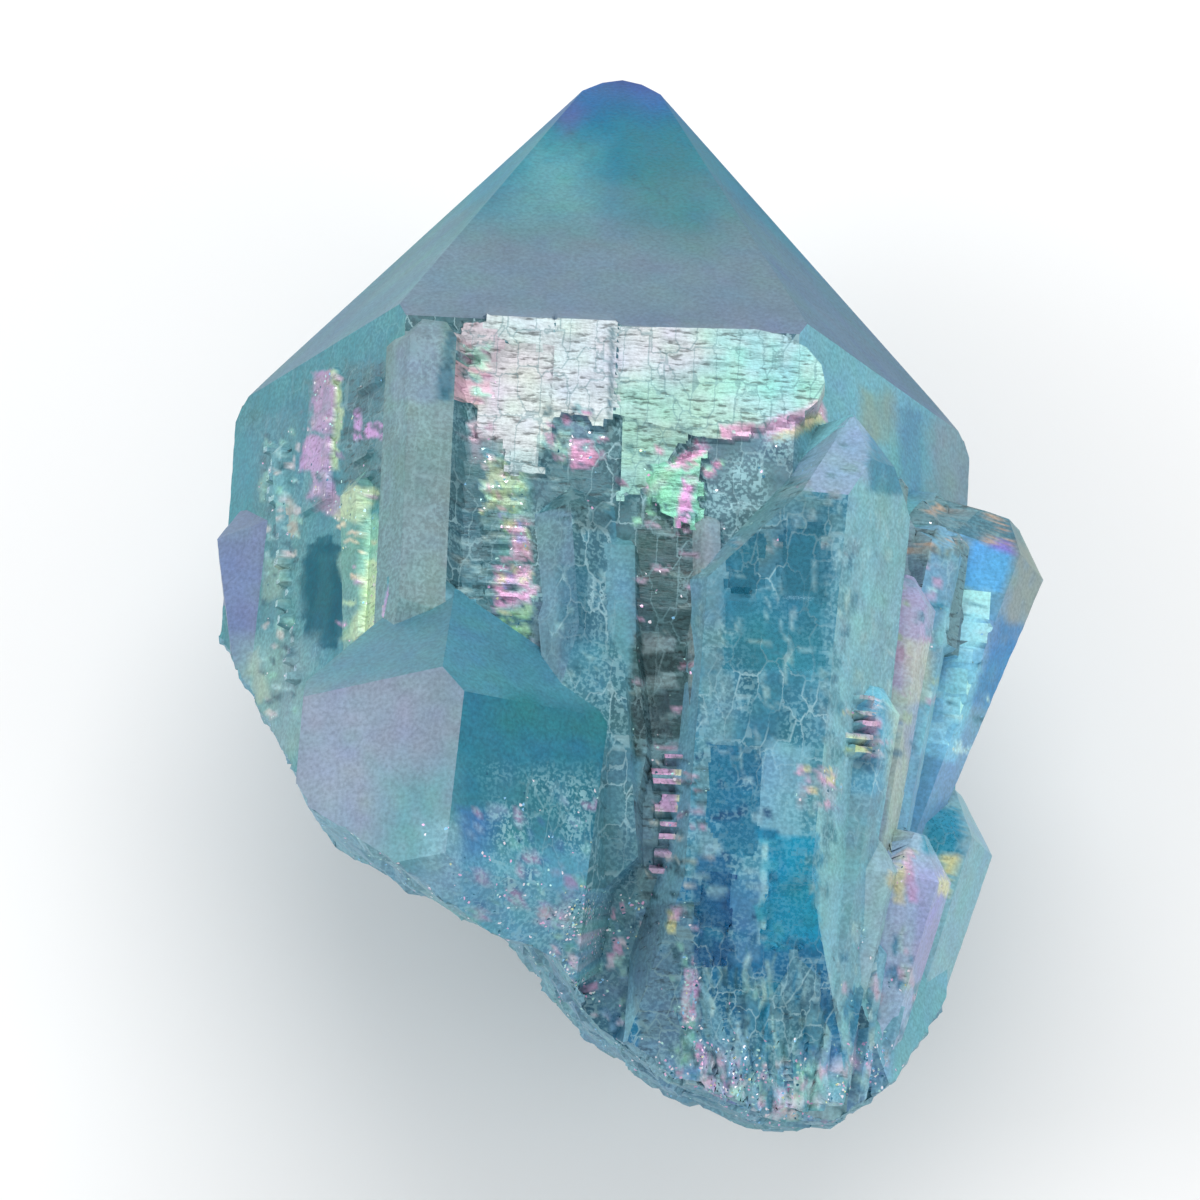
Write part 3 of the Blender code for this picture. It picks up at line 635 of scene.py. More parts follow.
def relief(place, planes, owners):
    """The height of the surface at its vertices, as each of the four faces round a vertex would have it: noise
    stretched across the crystal for growth lines, rounded to steps on the front, and crumbs on the breaks."""
    at = np.broadcast_to(place[..., None, :], planes.shape[:-1] + (3,))
    along = at[..., 1]
    front = (planes[..., 2] > 0.99) & (at[..., 2] > 18.0)
    peak = named(owners, "main") & (planes[..., 1] > 0.3)
    broken = owners == BROKEN

    steps = along / STRIA_GAP + 1.3 * noise(at, (2.5, 5.0, 2.5), 3)
    stria = np.abs((steps % 1.0) - 0.35) * noise(at, (1.6, 0.7, 1.6), 4)
    height = STRIA_HEIGHT * stria * (np.abs(planes[..., 1]) < 0.5) * ~peak
    grain = noise(at, (0.9, 0.16, 0.9), 5) + 0.6 * noise(at, (0.35, 0.2, 0.35), 6)
    terrace = np.round(TERRACES * noise(at, (1.1, 0.55, 1.1), 7)) / TERRACES
    height = height + front * (GRAIN_HEIGHT * grain + TERRACE_HEIGHT * terrace)
    height = height + ~front * ~peak * ~broken * FROST_HEIGHT * noise(at, 0.3, 8)

    edge_right = named(owners, "edge_on") & (planes[..., 0] > 0.3)
    speckled = edge_right & (planes[..., 1] < 0.2)
    rough = speckled * np.clip((SPECKLE_FROM_Y - along) / SPECKLE_FADE, 0, 1)
    height = height + rough * SPECKLE_HEIGHT * noise(at, 0.26, 9)

    worn = np.zeros(broken.shape)
    near = broken | (along < CRUMB_FROM_Y) | (edge_right & (along < EDGE_CRUMB_FROM_Y))
    worn[near] = crumbs(at[near], 0.9, 20) + 0.35 * crumbs(at[near], 0.4, 40)
    share = np.where(broken, 1.0, np.clip((CRUMB_FROM_Y - along) / CRUMB_FADE, 0, CRUMB_MOST))
    edge_share = edge_right * np.clip((EDGE_CRUMB_FROM_Y - along) / EDGE_CRUMB_FADE, 0, EDGE_CRUMB_MOST)
    clear = np.clip(at[..., 2] - REST_FACE_CLEAR, 0, 1)
    return height + worn * CRUMB_HEIGHT * np.maximum(share, edge_share) * clear


heights = relief(corner, corner_planes, corner_owners)
skin = corner + np.mean(heights[..., None] * corner_planes[..., :3], axis=2)
skin[..., 2] = np.maximum(skin[..., 2], 0.0)

# The film's colours: a metal film a few hundred nanometres thick shows another colour on each crystal face.
# A finish has its roughness, how clear and how metallic it is and its fine dark grain, then how many cracks,
# flecks, pale speckles and fibres it has. The flecks are flecks of film whose pale colours are painted sparkle.
FINISHES = {
    "frosted": (0.58, 0.00, 0.04, 0.0, 0.20, 0.00, 0.15, 0.7),
    "dull": (0.80, 0.00, 0.00, 0.0, 0.00, 0.00, 0.00, 0.0),
    "satin": (0.44, 0.14, 0.20, 0.0, 0.00, 0.00, 0.00, 0.1),
    "glassy": (0.28, 0.40, 0.10, 0.0, 0.55, 0.00, 0.25, 0.0),
    "cracked": (0.46, 0.12, 0.08, 0.0, 1.00, 0.00, 0.50, 0.4),
    "speckled": (0.44, 0.10, 0.08, 0.1, 0.40, 0.03, 1.00, 0.2),
    "stepped": (0.38, 0.00, 0.12, 0.9, 0.30, 0.02, 0.12, 0.0),
    # glitter: many flecks, whose pale colours are painted sparkle
    "glitter": (0.36, 0.00, 0.12, 0.1, 0.70, 0.75, 0.60, 0.3),
    "worn": (0.50, 0.00, 0.06, 0.0, 0.20, 0.10, 0.40, 0.2),
    "silver": (0.44, 0.00, 0.30, 1.0, 0.00, 0.00, 0.00, 0.0),
    # glint: the colours laid with it are partly the film's own pink, green and gold, partly painted glint
    "glint": (0.30, 0.05, 0.30, 0.6, 0.00, 0.12, 0.10, 0.0),
}

# Each row gives a solid, one of its faces or None for all, and the colour and finish of the coated face.
FACE_COLOURS = (
    ("main", None, "528CA2", "frosted"), ("main", 0, "427280", "cracked"), ("main", 1, "74B2BF", "dull"),
    ("main", 5, "4C909D", "frosted"), ("main", 6, "7391A9", "satin"), ("main", 7, "4A748C", "dull"),
    ("main", 11, "6A9099", "dull"), ("main", 22, "4A6C7C", "stepped"), ("main", 23, "3F7C96", "cracked"),
    ("rubble", None, "64909C", "stepped"), ("rubble_1", None, "7A98A8", "stepped"),
    ("left_corner_rib", None, "709498", "frosted"), ("left_corner_rib", 0, "769498", "frosted"),
    ("left_corner_rib", 1, "4F8496", "frosted"),
    ("centre_dome", None, "4E899A", "cracked"), ("centre_dome", 0, "4A8AA0", "cracked"),
    ("centre_dome", 5, "6890A8", "frosted"), ("centre_rib", None, "5A92A4", "frosted"),
    ("column_rib", None, "869FA8", "frosted"),
    ("left_bulge", None, "788EAE", "satin"), ("left_inner_rib", None, "66A09C", "frosted"),
    ("left_outer_rib", None, "669EAA", "frosted"),
    ("right_upper", None, "6AAAD0", "satin"), ("right_upper", 1, "7CAED2", "satin"),
    ("right_upper", 7, "7599A0", "frosted"), ("right_upper", 6, "4B8192", "frosted"),
    ("right_upper_rib", None, "74AAC6", "frosted"), ("right_lower", None, "8CC0CC", "satin"),
    ("flank_rib", None, "9CB0CA", "frosted"), ("flank_dome", None, "75CCEB", "cracked"),
    ("capped_rib", None, "9CC4CC", "frosted"), ("lower_flank", None, "9CB8D4", "frosted"),
    ("lower_rib", None, "96C0CA", "frosted"), ("back_", None, "6AA0B4", "frosted"),
    ("tall", None, "5A9CB4", "cracked"), ("tall", 0, "4A94B0", "cracked"), ("tall", 1, "82BAC8", "frosted"),
    ("tall", 5, "6CA0B4", "frosted"), ("tall", 6, "94B0CE", "satin"), ("tall", 7, "3F8AA4", "satin"),
    ("tall", 11, "638E9C", "stepped"), ("tall", 13, "4A94B0", "cracked"), ("tall", 14, "1F7EAE", "cracked"),
    ("edge_on", None, "4F94AC", "frosted"), ("edge_on", 0, "849AAF", "satin"), ("edge_on", 1, "2A809C", "satin"),
    ("edge_on", 2, "2A7C98", "cracked"), ("edge_on", 6, "5E96A6", "satin"), ("edge_on", 7, "549CB2", "satin"),
    ("edge_on", 8, "338FAC", "satin"), ("edge_on", 11, "6FA8CC", "speckled"), ("edge_on", 12, "5C9EBE", "worn"),
    ("front_plate", None, "BECDD0", "silver"), ("front_plate_2", None, "C0C5CA", "silver"),
    ("front_plate_4", None, "BCB6BF", "silver"), ("front_plate_5", None, "BDA5B1", "silver"),
    ("front_plate_6", None, "9AC2C2", "silver"), ("front_plate_7", None, "82C1AB", "glint"),
    ("column_rung", None, "D8AFD4", "glint"), ("column_step", None, "CDB8D4", "glint"),
    ("ladder_rung", None, "B4F2F8", "frosted"), ("left_ledge", None, "5A8F9C", "frosted"),
    ("front_ledge", None, "568C9C", "stepped"), ("pink_plate", None, "5C949E", "frosted"),
    ("left_bead", None, "9AC3CC", "glint"), ("dome_rung", None, "B4C6D2", "glint"),
    ("root_rib", None, "4F94B4", "cracked"), ("root_rib_1", None, "6FA8BC", "frosted"),
    ("root_rib_5", None, "6A9FB0", "frosted"), ("root_rib_7", None, "78AABA", "frosted"),
    ("root_rib_4", None, "2C88B4", "glassy"), ("root_rib_9", None, "72AEC4", "frosted"),
)
BROKEN_COLOUR = ("6FA2B6", "worn")
WINDOW_COLOURS = ("2F8CAC", "2F8CAC", "389AB8", "278DB6", "2268A8", "04A2D2")

# Bands that run across the tip faces, from the tip down: how far along +Y each colour is. They wander by noise,
# each with its reach and its size, and tint the side faces of the tip less. The tip's end is more metallic.
TIP_BANDS = ((17.2, "4658AC"), (16.4, "3E74B4"), (15.3, "0879AA"), (13.8, "0A88A4"), (12.2, "268EA4"),
             (10.6, "5C8C9A"), (8.6, "6C8C9E"), (5.0, "718CA2"))
BAND_WANDER = ((1.1, 2.5, 70), (0.3, 0.8, 71))
BAND_SIDE_SHARE = 0.45
TIP_METAL_Y, TIP_METAL = (10.5, 13.0), (0.0, 0.4)
TIP_FRONT_FACE, LAST_TIP_FACE = 6, 11

# Patches of the film on single faces; where their finish is glint, their colour is partly the film's and partly
# painted glint. Each row gives the solids that it lies on, its box in the picture's pixels (left, top, right,
# bottom), its turn, softness, colour, finish and strength.
MARKS = (
    # the left side: pink and green film, partly painted glint, between dark stepped faces
    ("main left_ledge", (345, 362, 402, 505), 0, 10, "44767F", "stepped", 0.9),
    ("pink_plate main", (312, 371, 332, 432), 2, 3, "B99AC6", "glint", 0.9),
    ("pink_plate main", (303, 436, 333, 472), 0, 3, "BE9CC8", "glint", 0.95),
    ("pink_plate main", (310, 470, 333, 500), 4, 4, "B99AC2", "glint", 0.8),
    ("pink_plate main", (318, 494, 348, 514), 14, 4, "C2A4C0", "glint", 0.7),
    ("pink_plate main", (333, 374, 341, 470), 0, 2, "C9E0B0", "glint", 0.8),
    ("main left_ledge", (353, 409, 361, 440), 0, 2, "C9A0D8", "glint", 1.0),
    ("main left_ledge", (366, 426, 388, 441), 0, 2, "C9A0D8", "glint", 1.0),
    ("main left_inner", (340, 486, 372, 522), 20, 4, "C6D6B0", "glint", 0.75),
    ("left_inner main", (360, 520, 384, 640), 4, 6, "9ED8C2", "glint", 0.9),
    ("left_inner main", (366, 560, 377, 632), 4, 4, "D6E6B2", "glint", 0.75),
    ("left_inner main", (352, 604, 384, 648), 25, 5, "BCDCB0", "glint", 0.7),
    ("left_inner main", (380, 585, 392, 645), 18, 3, "CFA3D8", "glint", 0.8),
    ("main", (315, 534, 335, 648), 0, 3, "0C5E72", "dull", 0.95),
    ("main", (307, 543, 342, 638), 0, 3, "0C5E72", "dull", 0.95),
    ("main", (300, 560, 349, 620), 0, 3, "0C5E72", "dull", 0.95),
    ("main", (316, 552, 330, 640), 6, 5, "2F7482", "dull", 0.5),
    ("main", (340, 550, 350, 580), 0, 3, "8CC8C4", "glint", 0.7),
    ("main left_bead", (279, 497, 294, 535), -8, 4, "EBD3B8", "glint", 0.9),
    ("main left_outer", (262, 560, 284, 600), 0, 4, "C4DFC0", "glint", 0.6),
    ("main left_bulge", (252, 650, 266, 700), -14, 4, "E6DDB0", "glint", 0.6),
    ("main", (228, 430, 262, 570), 0, 16, "4A9CAA", "satin", 0.8),
    ("main", (255, 415, 300, 640), 0, 14, "5F909A", "frosted", 0.6),
    ("left_bulge", (213, 540, 252, 650), 0, 16, "7186B3", "satin", 0.7),
    ("left_bulge main", (235, 640, 310, 760), 0, 25, "8CB0B0", "frosted", 0.7),
    # the tip: a pale and a green patch, and a few fine scratches
    ("main", (520, 145, 590, 215), 10, 45, "68ACB4", "satin", 0.7),
    ("main", (630, 130, 705, 220), 0, 45, "2F8288", "satin", 0.7),
    ("main", (552, 100, 582, 130), -45, 20, "5A5CA4", "satin", 0.6),
    ("main", (562, 144, 606, 146), 38, 2, "2F5F74", "satin", 0.5),
    ("main", (628, 188, 676, 190), 35, 2, "2F5F74", "satin", 0.5),
    # the rib at the upper left corner
    ("left_corner", (393, 308, 440, 402), 0, 8, "7A92A6", "frosted", 0.8),
    ("left_corner main", (440, 330, 456, 402), 8, 4, "2F6A80", "satin", 0.9),
    ("left_corner", (446, 560, 462, 640), 0, 8, "8C9FAA", "frosted", 0.5),
    # the silvery front face and what borders it
    ("front_plate main", (463, 346, 491, 367), 0, 3, "9FCCC1", "silver", 0.9),
    ("front_plate main", (462, 372, 489, 401), 0, 4, "C8ACB7", "silver", 1.0),
    ("front_plate main", (478, 395, 546, 450), 0, 7, "BFC5CB", "silver", 1.0),
    ("front_plate main", (500, 380, 560, 420), 0, 7, "C1CCCF", "silver", 1.0),
    ("front_plate main", (511, 448, 537, 477), 0, 4, "AFC3C6", "silver", 1.0),
    ("front_plate main", (470, 430, 482, 462), 0, 4, "D0A8B4", "glint", 0.9),
    ("main", (545, 398, 612, 442), 0, 5, "5A7F98", "stepped", 1.0),
    ("front_plate_right", (700, 320, 832, 420), 0, 60, "8CCCC8", "silver", 0.9),
    ("front_plate_right front_plate_6", (612, 390, 700, 500), 0, 30, "92BFB4", "silver", 0.8),
    ("front_plate_right", (612, 372, 735, 450), 0, 30, "9CCABC", "silver", 0.7),
    ("front_plate_right", (640, 318, 700, 360), 0, 25, "CCD0D3", "silver", 0.6),
    ("main front_plate", (572, 439, 595, 467), 0, 3, "DA9FC8", "glint", 1.0),
    ("main front_plate", (542, 438, 566, 453), 0, 4, "9FD0C8", "glint", 0.7),
    ("main front_plate", (608, 328, 614, 442), 0, 2, "5A7F88", "satin", 0.8),
    ("main front_plate", (636, 463, 716, 474), -39, 3, "DFA0CC", "glint", 1.0),
    ("main front_plate", (720, 426, 756, 440), 0, 4, "DBA6C8", "glint", 0.9),
    ("main front_plate", (760, 414, 826, 434), -24, 4, "DFB4CE", "glint", 0.9),
    ("main front_plate", (770, 426, 824, 436), -24, 3, "DDDCA2", "glint", 0.8),
    ("front_plate_7 main", (646, 468, 684, 530), 0, 6, "7CC1A3", "glint", 0.9),
    ("front_plate main", (681, 478, 694, 532), 12, 3, "DA98CA", "glint", 1.0),
    ("main centre", (550, 470, 604, 513), 0, 7, "4A747C", "stepped", 1.0),
    ("centre", (573, 513, 613, 532), 0, 4, "4F7F8A", "glassy", 0.9),
    ("main", (700, 436, 800, 520), 0, 16, "5F8899", "speckled", 0.8),
    ("main", (862, 392, 892, 442), 0, 12, "8FA88C", "satin", 0.6),
    ("main", (898, 408, 926, 505), 0, 12, "4E8CB4", "satin", 0.6),
    ("main", (930, 418, 980, 508), 0, 16, "7E9BAA", "satin", 0.8),
    # the stepped strip beside the rib, with its pink and green film, partly painted glint
    ("main front_ledge centre", (460, 440, 500, 655), 0, 8, "4C7C87", "stepped", 0.8),
    ("main front_ledge centre", (500, 440, 532, 660), 0, 6, "67A09A", "stepped", 0.7),
    ("main front_ledge centre", (486, 458, 526, 508), 0, 5, "C4D8A8", "glint", 0.6),
    ("main front_ledge centre", (512, 520, 530, 560), 0, 4, "DCAFCE", "glint", 0.8),
    ("main front_ledge centre", (496, 566, 528, 610), 0, 4, "DCA8CC", "glint", 0.9),
    ("main front_ledge centre", (498, 606, 530, 640), 0, 4, "9CDCA4", "glint", 0.9),
    ("main front_ledge centre", (504, 636, 532, 650), 15, 3, "A79FD8", "glint", 0.8),
    ("main front_ledge centre", (560, 430, 572, 462), 0, 4, "A6D0C0", "glint", 0.6),
    # the centre dome and the dark stepped column
    ("centre_dome", (560, 565, 588, 660), -6, 5, "3B8AA6", "glassy", 0.9),
    ("centre_dome", (572, 640, 606, 745), -8, 8, "4A94AC", "cracked", 0.8),
    ("centre_dome", (532, 520, 562, 690), 0, 9, "6C98A3", "frosted", 0.7),
    ("main centre column_rib", (634, 505, 702, 760), 2, 6, "36575C", "stepped", 1.0),
    ("main centre column_rib", (634, 740, 702, 1085), 2, 6, "6C98A4", "stepped", 0.95),
    ("main centre column_rib", (642, 652, 674, 679), 0, 2, "34545C", "glassy", 1.0),
    ("main centre column_rib", (637, 691, 670, 733), 0, 2, "3C5C66", "glassy", 1.0),
    ("main centre column_rib", (645, 637, 674, 652), 6, 2, "8FA6AE", "cracked", 0.6),
    ("main centre column_rib", (638, 677, 678, 691), -6, 2, "8FA6AE", "cracked", 0.6),
    ("tall edge_on", (636, 905, 702, 1090), -4, 6, "63899B", "stepped", 0.9),
    ("tall root_rib", (684, 970, 700, 1020), 0, 3, "CDB4D4", "glitter", 0.9),
    ("tall root_rib", (684, 1020, 698, 1066), -6, 3, "8FD0B8", "glitter", 0.8),
    ("tall", (668, 915, 676, 935), 0, 2, "D8DE9C", "glint", 0.8),
    ("column_rung column_step", (676, 760, 694, 935), 0, 4, "D4E4B0", "glint", 0.9),
    ("main column", (680, 966, 702, 1060), 0, 5, "CDB4D4", "glitter", 0.8),
    ("column_rib", (690, 515, 712, 800), 0, 5, "98A9AC", "frosted", 0.6),
    # the crystal at the lower left
    ("edge_on", (290, 690, 420, 800), 0, 45, "97A4B9", "satin", 0.6),
    ("edge_on", (380, 770, 450, 890), 0, 40, "63A5AE", "satin", 0.8),
    ("edge_on", (458, 808, 508, 858), 0, 12, "4480BC", "satin", 1.0),
    ("edge_on", (500, 700, 620, 740), 8, 16, "2C8490", "satin", 0.8),
    ("edge_on", (490, 775, 625, 870), 0, 30, "328499", "speckled", 0.9),
    ("edge_on", (460, 850, 620, 980), 0, 30, "5DA2BE", "worn", 0.8),
    ("edge_on", (540, 905, 575, 925), 10, 6, "D8B4D0", "glitter", 0.6),
    ("edge_on", (420, 820, 462, 900), 0, 14, "7FB0C4", "worn", 0.7),
    ("edge_on main", (560, 890, 640, 1000), 20, 12, "5E9CB4", "glitter", 0.8),
    ("main tall edge_on", (596, 880, 636, 1010), 0, 6, "5E93A6", "frosted", 0.6),
    # the tall crystal
    ("tall", (776, 396, 872, 480), 0, 9, "94B8D2", "satin", 0.8),
    ("tall", (868, 402, 915, 492), 0, 5, "3E91AA", "satin", 0.9),
    ("tall", (700, 490, 735, 900), 2, 8, "67939E", "frosted", 0.7),
    ("tall window", (724, 590, 822, 674), 0, 6, "3AA1C1", "glassy", 0.8),
    ("tall window", (780, 500, 832, 600), 0, 6, "2F86A4", "glassy", 0.8),
    ("tall", (742, 672, 806, 744), 0, 10, "2C7C98", "cracked", 0.8),
    ("tall", (700, 420, 790, 560), -38, 12, "5C8A96", "stepped", 0.7),
    ("tall", (736, 744, 764, 820), 0, 4, "2484A8", "glassy", 0.6),
    ("tall", (760, 744, 806, 835), 10, 6, "76AEC4", "frosted", 0.8),
    ("tall", (759, 835, 769, 944), 4, 2, "A8E2EC", "glint", 0.9),
    ("tall window", (768, 835, 817, 944), 0, 3, "0CB0E0", "glassy", 1.0),
    ("tall window", (695, 858, 731, 968), 0, 4, "1678B0", "glassy", 0.9),
    ("tall", (730, 870, 760, 960), 0, 5, "5C9AC0", "cracked", 0.7),
    ("tall root_rib", (758, 980, 782, 1090), 5, 3, "28A8D4", "glassy", 0.9),
    ("tall", (806, 770, 838, 785), 3, 3, "E6B8E2", "glint", 0.9),
    ("tall", (828, 772, 838, 783), 0, 2, "DDE6AC", "glint", 0.8),
    ("tall", (798, 786, 838, 808), 0, 5, "B8C2D8", "glint", 0.6),
    # the ribs, rungs and small domes at the right
    ("flank_rib main", (884, 560, 926, 700), 3, 10, "BCB0D4", "frosted", 0.8),
    ("flank_rib main right_upper_rib", (904, 640, 932, 702), 0, 8, "C6D6B8", "frosted", 0.6),
    ("flank_dome dome_rung", (854, 719, 884, 728), 8, 2, "E8C4E0", "glint", 1.0),
    ("flank_dome dome_rung", (847, 741, 879, 755), 10, 3, "D6E6B4", "glint", 1.0),
    ("flank_dome", (828, 790, 876, 1020), 4, 10, "7BA6B2", "frosted", 0.85),
    ("flank_dome", (852, 727, 880, 770), 0, 6, "4A98BC", "glassy", 0.8),
    ("flank_dome flank_rib", (886, 690, 906, 862), 3, 8, "B6CFB8", "frosted", 0.7),
    ("right_upper", (964, 545, 1008, 590), 6, 4, "66BCFA", "satin", 1.0),
    ("right_upper", (993, 540, 1013, 554), 10, 4, "9A7CDC", "satin", 0.8),
    ("right_upper ladder right_upper_rib", (960, 592, 988, 617), 8, 3, "B8FAFF", "frosted", 1.0),
    ("right_upper ladder right_upper_rib", (940, 612, 982, 647), 8, 3, "A4F4FF", "frosted", 0.9),
    ("right_upper ladder right_upper_rib", (928, 647, 972, 760), 14, 5, "8AD4F0", "frosted", 0.8),
    ("right_upper", (1008, 545, 1045, 645), 12, 12, "9CA8A0", "satin", 0.8),
    ("right_upper", (985, 620, 1012, 712), 20, 10, "2C8ECC", "satin", 0.8),
    ("right_upper_rib", (930, 560, 958, 800), 6, 8, "7CB4C6", "cracked", 0.5),
    ("lower_flank right_lower", (922, 808, 960, 855), 4, 4, "12B2D8", "glassy", 0.95),
    ("lower_flank", (900, 848, 911, 905), 10, 2, "D2D4A8", "glint", 0.8),
    ("lower_flank", (908, 850, 917, 905), -8, 2, "CFA4D2", "glint", 0.7),
    ("lower_rib lower_flank", (890, 873, 900, 897), -25, 2, "D8D6A0", "glint", 0.7),
    ("lower_flank", (916, 868, 942, 995), 3, 8, "A4B0DC", "satin", 0.9),
    ("lower_flank right_lower", (945, 855, 956, 871), 0, 2, "EAE2A8", "glint", 0.9),
    ("lower_flank right_lower", (941, 875, 951, 892), 0, 2, "DCE2AC", "glint", 0.9),
    ("right_lower lower_flank", (912, 982, 926, 1020), 0, 4, "28A0B4", "glassy", 0.9),
    ("tall flank lower_flank root_rib", (850, 1000, 872, 1046), 4, 4, "2A8FC0", "glassy", 0.8),
    ("tall main root_rib", (700, 1010, 760, 1100), 6, 14, "3A88A8", "cracked", 0.5),
    ("capped_rib root_rib_4 root_rib_5 root_rib_6", (752, 935, 854, 1096), 0, 8, "4C8CA6", "cracked", 0.9),
    ("capped_rib root_rib_5", (796, 950, 806, 1080), 4, 4, "3F7E98", "cracked", 0.8),
    ("capped_rib lower_flank root_rib", (750, 1078, 880, 1140), 0, 8, "6C9CB0", "worn", 0.9),
    ("tall main root_rib capped_rib", (796, 1042, 814, 1070), 8, 3, "1A7CC4", "glassy", 0.95),
    ("tall main root_rib capped_rib", (792, 1066, 804, 1084), 12, 3, "1A7CC4", "glassy", 0.9),
    ("tall main root_rib capped_rib", (828, 1032, 838, 1066), 0, 3, "2490CC", "glassy", 0.95),
    ("tall main root_rib capped_rib", (760, 1030, 770, 1096), 6, 3, "2A98C4", "glassy", 0.85),
    # glitter near the root: the film's colours, with pale ones as painted sparkle
    ("tall main root_rib", (660, 1050, 880, 1140), 0, 40, "7CB2D0", "glitter", 0.8),
    ("tall main root_rib capped_rib", (776, 1092, 800, 1118), 10, 4, "EAD2EA", "glitter", 0.9),
    ("tall main root_rib capped_rib", (800, 1070, 818, 1098), 25, 5, "B4E8E0", "glitter", 0.8),
    ("tall main root_rib", (700, 1050, 735, 1110), 0, 8, "C9B8D8", "glitter", 0.7),
)
